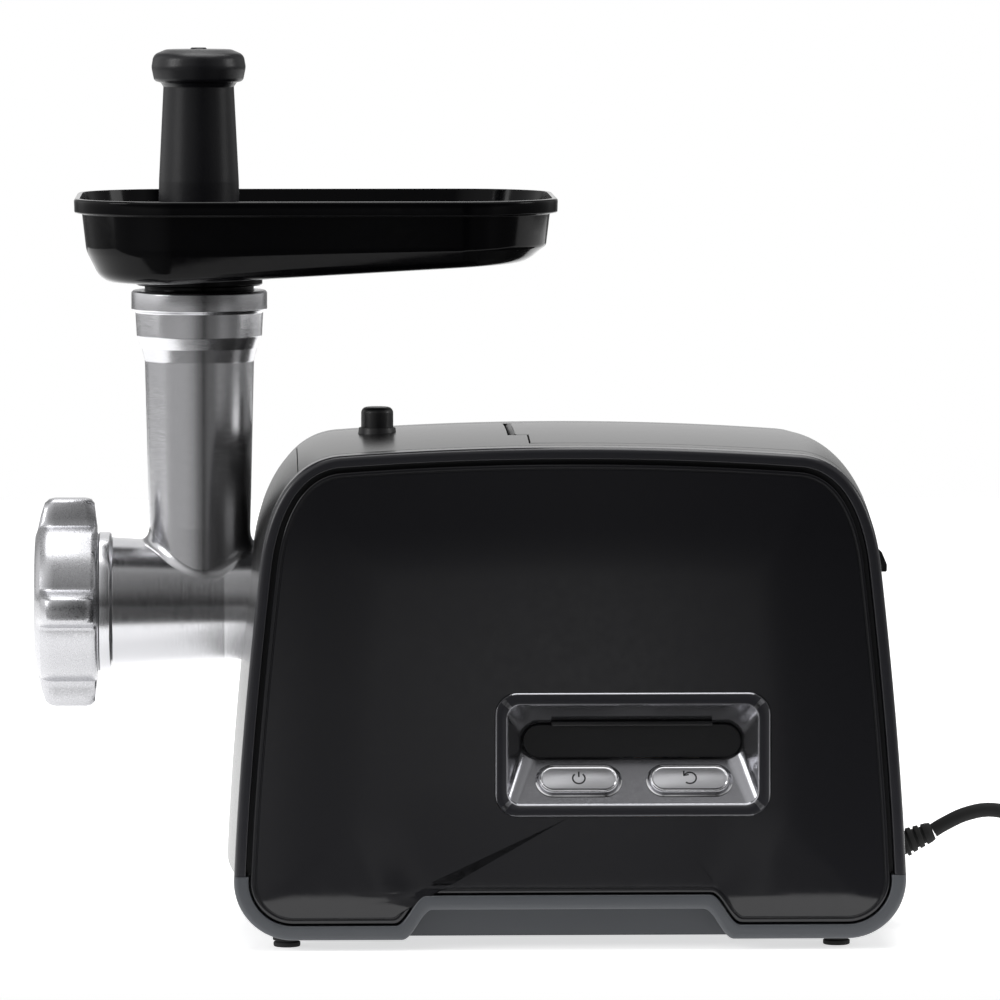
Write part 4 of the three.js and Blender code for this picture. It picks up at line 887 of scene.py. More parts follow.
# ---------------------------------------------------------------- the controls
@dataclass
class Controls:
    """The recess with its two push buttons, and the head's lock button on top."""

    frame_width: float = 0.0054
    depth: float = 0.0135
    back_width: float = 0.0924
    back_height: float = 0.0145
    back_rise: float = 0.0045
    button_rise: float = 0.0024

    def __post_init__(self) -> None:
        """Place the recess and its ramp from the frame."""
        low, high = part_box("control_bezel")
        self.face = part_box("side_panel_near")[0][1]
        self.centre = Vector(((low[0] + high[0]) / 2, self.face, (low[2] + high[2]) / 2))
        self.width, self.height = high[0] - low[0], high[2] - low[2]
        self.back_y = self.face + self.depth
        self.back_z = self.centre.z + self.back_rise
        ramp_low = Vector((0, self.face, low[2] + self.frame_width))
        ramp_high = Vector((0, self.back_y, self.back_z - self.back_height / 2))
        self.along = (ramp_high - ramp_low).normalized()
        self.out = Vector((0, -self.along.z, self.along.y))
        self.ramp_middle = (ramp_low + ramp_high) / 2

    def build(self) -> None:
        """Make the recess, both buttons and the lock button."""
        self.bezel()
        self.button("power_button", "power", self.power_symbol())
        self.button("reverse_button", "reverse", self.reverse_symbol())
        self.lock_button()

    def _ring(self, width: float, height: float, radius: float, y: float, rise: float = 0.0) -> Ring:
        """Return a rounded rectangle that faces the front, at the depth y."""
        path = rounded_rectangle(width, height, min(radius, height / 2 - 1e-5), 12)
        return [Vector((self.centre.x + px, y, self.centre.z + rise + pz)) for px, pz in path]

    def bezel(self) -> None:
        """Make the recess: a dark frame whose rounded edges are smoked chrome strips as a painted
        highlight, sloping sides and a black block at the back.
        """
        inner = 2 * self.frame_width
        w, h, y = self.width, self.height, self.face
        mouth_w, mouth_h, mouth_radius, mouth_y = w - inner, h - inner, 0.0055, y + 0.0002
        stations = (
            (0, 0.0094, 0.0022), (0, 0.0094, 0.0001), (0.0007, 0.009, -0.0003), (0.0014, 0.0087, -0.0001),
            (inner - 0.0016, 0.0062, -0.0001), (inner - 0.0009, 0.0059, -0.0003),
            (inner, mouth_radius, 0.0002),
        )
        rings = [self._ring(w - less, h - less, radius, y + back) for less, radius, back in stations]
        rim = painted(skin(rings), 0)
        # Painted highlight: the frame's outer and inner edge bands get smoked chrome, standing in for the
        # highlights on a black gloss frame's rounded edges.
        edge = self.frame_width - 0.0012
        for face in rim.faces:
            at = face.calc_center_median()
            out = max(abs(at.x - self.centre.x) - w / 2, abs(at.z - self.centre.z) - h / 2)
            if out > -0.0009 or out < -edge:
                face.material_index = 1
        walls = [self._ring(mouth_w, mouth_h, mouth_radius, mouth_y)]
        for share in (0.25, 0.5, 0.75, 1.0):
            width, height = lerp(mouth_w, self.back_width, share), lerp(mouth_h, self.back_height, share)
            radius, depth = lerp(mouth_radius, 0.0072, share), lerp(mouth_y, self.back_y, share)
            walls.append(self._ring(width, height, radius, depth, self.back_rise * share))
        cup = painted(skin(walls), 1)
        for bm in (rim, cup):
            if sum(v.normal.y for v in bm.verts) > 0:
                bmesh.ops.reverse_faces(bm, faces=bm.faces)
        block_stations = ((0.0004, 0.007, 0.0), (0.0004, 0.007, 0.0012), (0.0012, 0.0066, 0.0016))
        block_rings = [
            self._ring(
                self.back_width - less, self.back_height - less, radius, self.back_y - ahead,
                self.back_rise
            )
            for less, radius, ahead in block_stations
        ]
        block = painted(skin(block_rings, caps=True), 2)
        x, z, half = self.centre.x, self.back_z + self.back_height / 2, 0.034
        low = Vector((x - half, self.back_y - 0.0042, z - 0.0006))
        high = Vector((x + half, self.back_y - 0.0004, z + 0.0012))
        notch = painted(box_mesh(low, high, 0.0005), 2)
        piece(
            "control_recess", merged(rim, cup, block, notch), [FRAME_GLOSS, SMOKED_CHROME, BLACK_SATIN],
            "root", ["control_bezel"], 40,
        )

    def _on_ramp(self, x: float, u: float, v: float, w: float) -> Vector:
        """Return the point u along x, v up the ramp and w out of it, from the middle of a button at x."""
        return Vector((x + u, 0, 0)) + self.ramp_middle + self.along * v + self.out * w

    def button(self, node: str, body: str, symbol: list[list[Point2]]) -> None:
        """Make one pill-shaped button with a bright rim, a brushed face and its symbol.

        Args:
            node: the CAD node.
            body: the body that it rides on.
            symbol: the symbol's strokes, as paths on the button's face.
        """
        low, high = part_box(node)
        x, length = (low[0] + high[0]) / 2, high[0] - low[0]
        width = 0.0124

        def pill(inset: float, w: float) -> Ring:
            """Return the button's outline drawn in by inset, at the height w."""
            path = rounded_rectangle(length - 2 * inset, width - 2 * inset, width / 2 - inset - 1e-5, 16)
            return [self._on_ramp(x, u, v, w) for u, v in path]

        top = self.button_rise
        rounding = ((0, 0.0007), (0.0002, 0.0002), (0.0006, 0), (0.001, 0.0001), (0.0013, 0.0005))
        shell = painted(skin([pill(0, -0.0015), *(pill(inset, top - down) for inset, down in rounding)]), 0)
        dish = ((0.0013, 0.0006), (0.0013, 0.00045), (0.0016, 0.0003))
        face = painted(skin([pill(inset, top - down) for inset, down in dish], caps=True), 1)
        well = painted(skin([pill(-0.0004, -0.0002), pill(-0.0011, 0.0004), pill(-0.0016, 0.0002)]), 0)
        section = ((1, -0.0001), (1, 0.00006), (-1, 0.00006), (-1, -0.0001))
        half_stroke, ink_at = 0.00035, top - 0.0003
        strokes = []
        for path in symbol:
            rings = []
            for i, (u, v) in enumerate(path):
                ahead, back = path[min(i + 1, len(path) - 1)], path[max(i - 1, 0)]
                side = Vector((back[1] - ahead[1], ahead[0] - back[0])).normalized() * half_stroke
                rings.append(
                    [self._on_ramp(x, u + side.x * s, v + side.y * s, ink_at + w) for s, w in section]
                )
            strokes.append(painted(skin(rings, caps=True), 2))
        whole = merged(shell, face, well, *strokes)
        piece(node + "_pill", whole, [CHROME, BUTTON_STEEL, INK], body, [node])

    @staticmethod
    def power_symbol() -> list[list[Point2]]:
        """Return the strokes of a power symbol: a broken ring and a bar."""
        return [arc(0.0026, 130, 411), [(0, 0.0006), (0, 0.0032)]]

    @staticmethod
    def reverse_symbol() -> list[list[Point2]]:
        """Return the strokes of a reverse symbol: an arc that ends in an arrowhead."""
        bow = arc(0.0027, -130, 151)
        x, y = bow[-1]
        return [bow, [(x + 0.0019, y + 0.0003), (x - 0.0002, y - 0.0002), (x - 0.0001, y + 0.0021)]]

    def lock_button(self) -> None:
        """Make the lock button: a short domed stem, ringed by black satin that is painted shade of its
        clearance gap.
        """
        low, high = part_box("lock_button")
        at = Vector(((low[0] + high[0]) / 2, 0, 0))
        r, top, foot = (high[0] - low[0]) / 2, high[2], low[2]
        shoulder = top - 0.0203
        profile = rounded(
            [
                (0, foot, 0), (r * 0.5, foot, 0), (r * 0.5, shoulder, 0),
                (r, shoulder, 0.0005), (r, top - 0.0003, 0.0026), (0, top, 0),
            ],
            8,
        )
        cap = turned(profile, Axis.Z, at, 64)
        piece("lock_button_cap", cap, [BLACK_SATIN], "lock", ["lock_button"])
        self._lock_spring()
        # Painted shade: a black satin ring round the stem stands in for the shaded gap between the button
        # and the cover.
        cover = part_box("top_cover")[1][2]
        low_end = cover - 0.003
        ring = rounded(
            [
                (r + 0.0002, low_end, 0), (r + 0.0002, cover + 0.0001, 0),
                (r + 0.0009, cover + 0.0003, 0.0002), (r + 0.0014, low_end, 0),
            ],
            3,
        )
        piece("lock_gap_painted_shade", turned([*ring, ring[0]], Axis.Z, at, 64), [BLACK_SATIN], "root")

    @staticmethod
    def _lock_spring() -> None:
        """Make the lock's coil spring, wound evenly between the ends of its box."""
        low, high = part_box("lock_spring")
        wire, turns, steps = 0.0006, 5, 200
        x, radius = (low[0] + high[0]) / 2, (high[0] - low[0]) / 2 - wire
        rings = []
        for i in range(steps + 1):
            a = 2 * math.pi * turns * i / steps
            out = Vector((math.cos(a), math.sin(a), 0))
            at = Vector((x, 0, lerp(low[2] + wire, high[2] - wire, i / steps))) + out * radius
            rings.append([at + out * u + Vector((0, 0, v)) for u, v in circle(wire, 10)])
        made = piece(
            "lock_spring_coil", skin(rings, caps=True), [STEEL], "root", ["lock_spring"], 60
        )
        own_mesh(made)


# ---------------------------------------------------------------- the grinding head
@dataclass
class GrindingHead:
    """The cast and machined aluminium head: barrel, feed tube, ring nut and cutting plate."""

    bore: float = 0.0214
    mouth: float = 0.0293
    flange: float = 0.0301
    neck_front: float = 0.0276
    neck_rear: float = 0.0249
    tube_low: float = 0.0217
    tube_high: float = 0.0234
    tube_bore: float = 0.019
    nut_radius: float = 0.0343
    nut_lobe: float = 0.045
    lobe_half: float = 0.0056
    lip: float = 0.003
    plate_hole: float = 0.0026
    flange_gap: float = 0.0008
    flange_width: float = 0.0053
    rear_wall: float = 0.005
    rear_hole: float = 0.0094
    collar: float = 0.0291
    collar_in: float = 0.0238
    throat: float = 0.0165
    nut_mouth: float = 0.0236
    thread: float = 0.0299

    def __post_init__(self) -> None:
        """Take the axes and ends from the frame."""
        nut_low, nut_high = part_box("ring_nut")
        self.axis_z = (nut_low[2] + nut_high[2]) / 2
        self.nut_front, self.nut_rear = nut_low[0], nut_high[0]
        low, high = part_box("head_barrel")
        self.front, self.rear, self.top = low[0], high[0], high[2]
        pusher_low, pusher_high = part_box("pusher")
        self.tube_x = (pusher_low[0] + pusher_high[0]) / 2
        self.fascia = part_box("side_frame_near")[0][0] + 0.002

    def build(self) -> None:
        """Make the barrel, the nut and the plate."""
        self.barrel()
        self.ring_nut()
        self.cutting_plate()

    def _barrel_radius(self, x: float) -> float:
        """Return the barrel's outer radius at x, behind its flange."""
        start = self.nut_rear + self.flange_gap + self.flange_width
        share = min(1.0, max(0.0, (x - start) / (self.fascia - 0.006 - start)))
        return lerp(self.neck_front, self.neck_rear, share)

    def barrel(self) -> None:
        """Make the barrel, the feed tube with its rolled top and the weld between them."""
        front, rear, bore = self.front, self.rear, self.bore
        flange_front = self.nut_rear + self.flange_gap
        flange_rear = flange_front + self.flange_width
        outer = rounded(
            [
                (bore, rear - 0.02, 0), (bore, front, 0.0004), (self.mouth, front, 0.0006),
                (self.mouth, flange_front, 0.0003), (self.flange, flange_front, 0.0009),
                (self.flange, flange_rear, 0.0012), (self.neck_front + 0.0002, flange_rear, 0.0009),
                (self.neck_rear, self.fascia - 0.006, 0.004), (self.neck_rear, rear, 0.0006),
                (self.rear_hole, rear, 0.0003), (self.rear_hole, rear - self.rear_wall, 0),
                (bore, rear - self.rear_wall, 0), (bore, rear - 0.02, 0),
            ],
            6,
        )
        barrel = painted(turned(outer, Axis.X, Vector((0, 0, self.axis_z)), 144), 0)
        t, low, ledge = self.top, self.axis_z + 0.009, self.axis_z + 0.0285
        seat = t - 0.011
        profile = rounded(
            [
                (self.tube_low, low, 0), (self.tube_low, self.axis_z + 0.033, 0.02),
                (self.tube_high, t - 0.0302, 0.004), (self.tube_high + 0.0013, t - 0.0247, 0.0015),
                (0.02685, t - 0.0195, 0.0018), (0.0274, t - 0.0092, 0.0008),
                (self.collar, t - 0.0082, 0.0008),
                (self.collar, t, 0.0012), (self.collar_in, t, 0.0004), (self.collar_in, seat, 0),
                (self.tube_bore, seat, 0.0004), (self.tube_bore, ledge, 0), (self.throat, ledge, 0),
                (self.throat, low, 0),
            ],
            6,
        )
        tube = painted(turned([*profile, profile[0]], Axis.Z, Vector((self.tube_x, 0, 0)), 144), 1)
        piece(
            "head_casting", merged(barrel, tube, painted(self._weld(), 1)), [ALUMINIUM_X, ALUMINIUM_Z],
            "head", ["head_barrel"], 28,
        )

    def _weld(self) -> bmesh.types.BMesh:
        """Return the concave skirt where the feed tube meets the barrel."""
        count, steps = 144, 10
        rings: list[Ring] = [[] for _ in range(steps + 1)]
        for i in range(count):
            a = 2 * math.pi * i / count
            reach = 0.0017 + 0.0032 * math.cos(a) ** 2

            def surface(r: float) -> Vector:
                """Return the barrel's surface under the point at distance r from the tube's axis."""
                x, y = self.tube_x + r * math.cos(a), r * math.sin(a)
                radius = self._barrel_radius(x)
                return Vector((x, y, self.axis_z + math.sqrt(max(0.0, radius * radius - y * y))))

            corner = surface(self.tube_low)
            high = corner + Vector((0, 0, reach * 1.25))
            foot = surface(self.tube_low + reach)
            for s in range(steps + 1):
                k = s / steps
                p = high.lerp(corner, k).lerp(corner.lerp(foot, k), k)
                rings[s].append(p + Vector((0, 0, 0.00008)))
        return skin(rings)

    def _nut_outline(self, radius: float, lobe: float) -> list[Point2]:
        """Return the nut's outline with its rounded lobes, counter-clockwise from the far side."""
        points = []
        count, half, fallen = 288, self.lobe_half, 0.12
        for i in range(count):
            a = FULL_TURN * i / count
            near = (a + math.pi / 4) % (math.pi / 2) - math.pi / 4
            across = radius * abs(near)
            bump = 1 - smooth_step(half * 0.62, half * 1.55, across)
            top = 1 - fallen * min(1.0, (across / half) ** 2)
            r = radius + (lobe - radius) * bump * top
            points.append((r * math.cos(a), r * math.sin(a)))
        return points

    def ring_nut(self) -> None:
        """Make the ring nut: a domed front lip, four lobes and the open thread behind."""
        body, lobe, f, b = self.nut_radius, self.nut_lobe, self.nut_front, self.nut_rear
        front = (
            (0.0016, 0.0236, 0.0236), (0.0003, 0.0246, 0.0246), (0, 0.0262, 0.0262),
            (0.0002, 0.0285, 0.0285),
            (0.0012, 0.0312, 0.0315), (0.0026, body - 0.001, body + 0.0035),
            (0.0042, body - 0.0004, lobe - 0.0022),
            (0.0062, body, lobe - 0.0006), (0.0085, body, lobe),
        )
        rear = (
            (0.005, body, lobe), (0.0026, body, lobe - 0.0006), (0.0012, body, lobe - 0.0022),
            (0.0005, body - 0.0003, body + 0.0025), (0, body - 0.0012, body - 0.0012),
            (0, self.thread, self.thread),
        )
        inside = ((self.lip, self.thread, self.thread), (self.lip, self.nut_mouth, self.nut_mouth))
        stations = [(f + x, r, tip) for x, r, tip in front] + [(b - x, r, tip) for x, r, tip in rear]
        stations += [(f + x, r, tip) for x, r, tip in inside]
        rings = [
            [Vector((x, y, self.axis_z + z)) for y, z in self._nut_outline(r, tip)]
            for x, r, tip in stations
        ]
        piece(
            "ring_nut_casting", skin(rings, tube=True), [NUT_SATIN], "nut",
            ["ring_nut"], 35
        )

    def cutting_plate(self) -> None:
        """Make the cutting plate with its rings of round holes."""
        low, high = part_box("cutting_plate")
        bm = bmesh.new()
        outlines = [circle((high[2] - low[2]) / 2, 96), circle(0.0044, 32)]
        for ring, count in ((0.0115, 8), (0.0205, 14)):
            for y, z in circle(ring, count, ring * 1000):
                outlines.append([(y + u, z + v) for u, v in circle(self.plate_hole, 24)])
        edges = []
        for path in outlines:
            verts = [bm.verts.new((low[0], y, self.axis_z + z)) for y, z in path]
            edges += [bm.edges.new(pair) for pair in zip(verts, verts[1:] + verts[:1])]
        bmesh.ops.triangle_fill(bm, edges=edges, use_beauty=True, use_dissolve=False)
        grown = bmesh.ops.extrude_face_region(bm, geom=list(bm.faces))["geom"]
        bmesh.ops.translate(
            bm, vec=(high[0] - low[0], 0, 0),
            verts=[v for v in grown if isinstance(v, bmesh.types.BMVert)]
        )
        bmesh.ops.recalc_face_normals(bm, faces=bm.faces)
        piece("cutting_plate_disc", bm, [STEEL], "plate", ["cutting_plate"])


# ---------------------------------------------------------------- the hopper
@dataclass
class Hopper:
    """The black tray on top of the feed tube, and the pusher that stands in it."""

    corner: float = 0.042
    slope: float = 0.062
    wall: float = 0.0024
    band: float = 0.006
    depth: float = 0.036
    hole: float = 0.0193
    collar: float = 0.0234
    skirt: float = 0.0271

    def build(self) -> None:
        """Make the tray and the pusher."""
        self.tray()
        self.pusher()

    def tray(self) -> None:
        """Make the tray: a banded rim, walls that curve in to a sloping floor, and a collar underneath."""
        low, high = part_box("hopper_tray")
        tube_x = sum(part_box("pusher")[i][0] for i in (0, 1)) / 2
        middle = Vector(((low[0] + high[0]) / 2, (low[1] + high[1]) / 2))
        length, width = high[0] - low[0], high[1] - low[1]
        rim, floor, w = high[2], high[2] - self.depth, self.wall
        bend, foot, low_floor = (0.0052, floor + 0.014, 0.012), (0.0118, floor + 0.0008, 0.009), 0.026
        outside = rounded(
            [
                (low_floor, floor, 0), foot, bend, (0.0034, rim - self.band - 0.0002, 0.0006),
                (0.0002, rim - self.band, 0.0007), (0, rim, 0.0011), (w, rim, 0.0009),
            ],
            8,
        )
        inner_bend, inner_foot = (bend[0] + w, *bend[1:]), (foot[0] + w, foot[1] + w, foot[2])
        inside = rounded([(w, rim, 0), inner_bend, inner_foot, (low_floor + w, floor + w, 0)], 8)
        rings = []
        for inset, z in [*outside, *inside[1:]]:
            radius = max(self.corner - inset, 0.012)
            path = [
                middle + Vector(p)
                for p in rounded_rectangle(length - 2 * inset, width - 2 * inset, radius, 20)
            ]
            tilt = self.slope * (1 - smooth_step(floor, floor + 0.02, z))
            rings.append([Vector((p.x, p.y, z + tilt * max(0.0, p.x - tube_x))) for p in path])
        dish = skin(rings)
        bottom, top = (self._ring_floor(ring, tube_x) for ring in (rings[0], rings[-1]))
        step = floor - 0.0024
        neck_profile = rounded(
            [
                (self.hole, floor + w, 0), (self.hole, low[2], 0.0004), (self.collar, low[2], 0.0006),
                (self.collar, step, 0.0004), (self.skirt, step, 0.0008), (self.skirt, floor + w * 0.5, 0),
            ],
            5,
        )
        neck = turned(neck_profile, Axis.Z, Vector((tube_x, 0, 0)), 96)
        bm = merged(dish, bottom, top, neck)
        bmesh.ops.remove_doubles(bm, verts=bm.verts, dist=SAME_POINT)
        bmesh.ops.recalc_face_normals(bm, faces=bm.faces)
        piece("hopper_dish", bm, [TRAY_GLOSS], "tray", ["hopper_tray"], 34)

    def _ring_floor(self, outer: Ring, tube_x: float) -> bmesh.types.BMesh:
        """Return the floor between a ring of the tray and the feed hole."""
        steps, lowest = 12, min(q.z for q in outer)
        matched = []
        for p in outer:
            a = math.atan2(p.y, p.x - tube_x)
            matched.append(Vector((tube_x + self.hole * math.cos(a), self.hole * math.sin(a), lowest)))
        shares = [s / steps for s in range(steps + 1)]
        return skin([[p.lerp(q, share) for p, q in zip(outer, matched)] for share in shares])

    def pusher(self) -> None:
        """Make the pusher: a hollow shaft, a narrow neck and a rounded knob."""
        low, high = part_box("pusher")
        at = Vector(((low[0] + high[0]) / 2, 0, 0))
        foot, top = low[2], high[2]
        n, r, c = 0.0151, 0.0179, (high[0] - low[0]) / 2
        cap, bore = top - 0.0155, r - 0.003
        profile = rounded(
            [
                (0, top - 0.026, 0), (r - 0.0056, top - 0.028, 0.003), (bore, foot + 0.09, 0.01),
                (bore, foot, 0.0005),
                (r, foot, 0.0014), (r, foot + 0.105, 0.02), (r - 0.0008, top - 0.057, 0.02),
                (n, cap - 0.0012, 0.0009), (n + 0.0012, cap + 0.0006, 0.0008),
                (c - 0.0012, cap + 0.0012, 0.0026),
                (c, cap + 0.0072, 0.006), (c - 0.0009, cap + 0.0125, 0.0038),
                (c - 0.0062, cap + 0.0147, 0.004),
                (0.0036, cap + 0.0149, 0.0004), (0.0031, top, 0.0005), (0, top, 0),
            ],
            8,
        )
        piece(
            "pusher_body", turned(profile, Axis.Z, at, 112), [PUSHER_SATIN], "pusher",
            ["pusher"], 40
        )


# ---------------------------------------------------------------- the mains lead
@dataclass
class MainsLead:
    """The ribbed strain relief, the lead, its coil behind the machine, the tie and the plug."""

    diameter: float = 0.0062
    tilt: float = math.radians(22)
    inner_turn: float = 0.0309
    outer_turn: float = 0.0371
    exit_reach: float = 0.0167
    plug_setback: float = 0.023
    coil_reach: float = 0.142

    def __post_init__(self) -> None:
        """Take the exit and the coil's place from the frame."""
        coil_low, coil_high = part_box("cord_coil")
        self.coil = Vector(((coil_low[0] + coil_high[0]) / 2, (coil_low[1] + coil_high[1]) / 2, 0))
        self.wall_x = self.coil.x - self.coil_reach
        self.root = Vector((self.wall_x, 0, 0.034))
        self.way = Vector((math.cos(self.tilt), 0, math.sin(self.tilt)))
        self.low_z = self.diameter / 2 + 0.0011
        self.high_z = self.low_z + self.diameter

    def route(self) -> Ring:
        """Return the lead's points, from the strain relief to the plug."""
        chosen = [
            (21, 42.6), (30.5, 47.2), (41, 49.3), (51, 47.3), (61, 40), (69, 29),
            (76, 18), (84, 9.5), (94, 5), (106, 4.2), (121.8, 4.2),
        ]
        points = [self.root + self.way * self.exit_reach]
        points += [Vector((self.wall_x + (x - 1.8) / 1000, 0, z / 1000)) for x, z in chosen]
        steps, turns = 252, 3.5
        for i in range(steps + 1):
            degrees = turns * 360 * i / steps
            turn, local = divmod(degrees, 360)
            inward = (smooth_step(210, 270, local), 1.0, 1 - smooth_step(90, 140, local), 0.0)[int(turn)]
            lift = (0.0, smooth_step(150, 200, local), 1.0, 1.0)[int(turn)]
            radius = lerp(self.outer_turn, self.inner_turn, inward)
            a = math.radians(degrees - 90)
            z = lerp(self.low_z, self.high_z, lift)
            points.append(self.coil + Vector((radius * math.cos(a), radius * math.sin(a), z)))
        end = self.coil + Vector((-self.plug_setback + 0.0004, self.outer_turn, 0.0092))
        points += [points[-1].lerp(end, share) for share in (0.33, 0.66, 1.0)]
        return points

    def build(self) -> None:
        """Make the lead and what is on it."""
        relief = self.strain_relief()
        plug = self.plug()
        tie = self.tie()
        self.lead()

    def lead(self) -> None:
        points = self.route()
        data = bpy.data.curves.new("mains_lead", "CURVE")
        data.dimensions = "3D"
        data.bevel_depth = self.diameter / 2
        data.bevel_resolution = 5
        data.resolution_u = 4
        spline = data.splines.new("BEZIER")
        spline.bezier_points.add(len(points) - 1)
        for i, (knot, point) in enumerate(zip(spline.bezier_points, points)):
            before, after = points[max(0, i - 1)], points[min(len(points) - 1, i + 1)]
            along = (after - before).normalized()
            knot.co = point
            knot.handle_left = point - along * (point - before).length / 3
            knot.handle_right = point + along * (after - point).length / 3
        data.materials.append(RUBBER.material())
        made = bpy.data.objects.new("mains_lead", data)
        bpy.context.scene.collection.objects.link(made)
        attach(made, "root")
        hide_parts("mains_cord", "cord_coil")

    def strain_relief(self) -> bpy.types.Object:
        """Make the ribbed strain relief, which leans upwards out of the rear cover."""
        collar, neck, ring = 0.0072, 0.005, 0.0062
        profile = [
            (0, -0.0125, 0), (collar, -0.0125, 0.0004), (collar, -0.0105, 0.0003), (neck, -0.0105, 0),
            (neck, 0.0028, 0), (ring, 0.0028, 0.0004), (ring, 0.0044, 0.0004),
        ]
        for i in range(3):
            h = 0.0044 + 0.0034 * i
            r = 0.0056 - 0.00044 * i
            groove, top = r - 0.0009, h + 0.0011
            profile += [
                (groove, h, 0.0001), (groove, top, 0.0001), (r, top, 0.0004),
                (r - 0.0003, h + 0.0034, 0.0004)
            ]
        profile += [(0.0038, 0.0164, 0.0004), (0, 0.0164, 0)]
        bm = turned(rounded(profile, 4), Axis.Z, Vector(), 48)
        bm.transform(Matrix.Translation(self.root) @ Matrix.Rotation(math.pi / 2 - self.tilt, 4, "Y"))
        return piece("strain_relief_ribs", bm, [RUBBER], "root", ["strain_relief"], 40)

    def plug(self) -> bpy.types.Object:
        """Make the moulded plug: a tapered sleeve, a waisted grip and two pins."""
        low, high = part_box("mains_plug")
        y, z = (low[1] + high[1]) / 2, (low[2] + high[2]) / 2
        end = self.coil.x - self.plug_setback
        stations = (
            (0, 0.0036, 0.0036), (0.004, 0.004, 0.004), (0.012, 0.0052, 0.0052), (0.0135, 0.0085, 0.0068),
            (0.018, 0.0118, 0.0078), (0.03, 0.0114, 0.0072), (0.04, 0.0128, 0.0084),
            (0.0452, 0.0128, 0.0084),
            (0.046, 0.012, 0.0076),
        )
        rings = []
        for back, half_width, half_height in stations:
            path = rounded_rectangle(2 * half_width, 2 * half_height, half_height * 0.92, 8)
            rings.append([Vector((end - back, y + u, z + v)) for u, v in path])
        grip = painted(skin(rings, caps=True), 0)
        pins = []
        sleeve = rounded([(0, 0, 0), (0.0024, 0, 0), (0.0024, 0.0194, 0.0012), (0, 0.02, 0)], 5)
        for side in (-1, 1):
            pin = turned(sleeve, Axis.Z, Vector(), 32)
            place = Matrix.Translation((end - 0.0452, y + side * 0.0095, z))
            pin.transform(place @ Matrix.Rotation(-math.pi / 2, 4, "Y"))
            pins.append(painted(pin, 1))
        return piece(
            "mains_plug_body", merged(grip, *pins), [RUBBER, STEEL], "root", ["mains_plug"],
            45
        )

    def tie(self) -> bpy.types.Object:
        """Make the band that holds the coil together, with its twisted end."""
        low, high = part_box("coil_tie")
        middle = Vector(((low[0] + high[0]) / 2, (low[1] + high[1]) / 2, (low[2] + high[2]) / 2))
        wide, tall = high[0] - low[0], high[2] - low[2]
        thin, (near, far) = 0.0012, (low[1] + 0.0008, high[1] - 0.0008)
        inner, outer = ((wide - thin, tall - thin, 0.0025), near), ((wide, tall, 0.003), near)
        sections = [inner, outer, (outer[0], far), (inner[0], far)]
        ordered = []
        for size, y in sections:
            path = rounded_rectangle(*size, 8)
            ordered.append([Vector((middle.x + u, y, middle.z + v)) for u, v in path])
        return piece(
            "coil_band", skin(ordered, tube=True), [BLACK_SATIN], "root", ["coil_tie"],
            40
        )


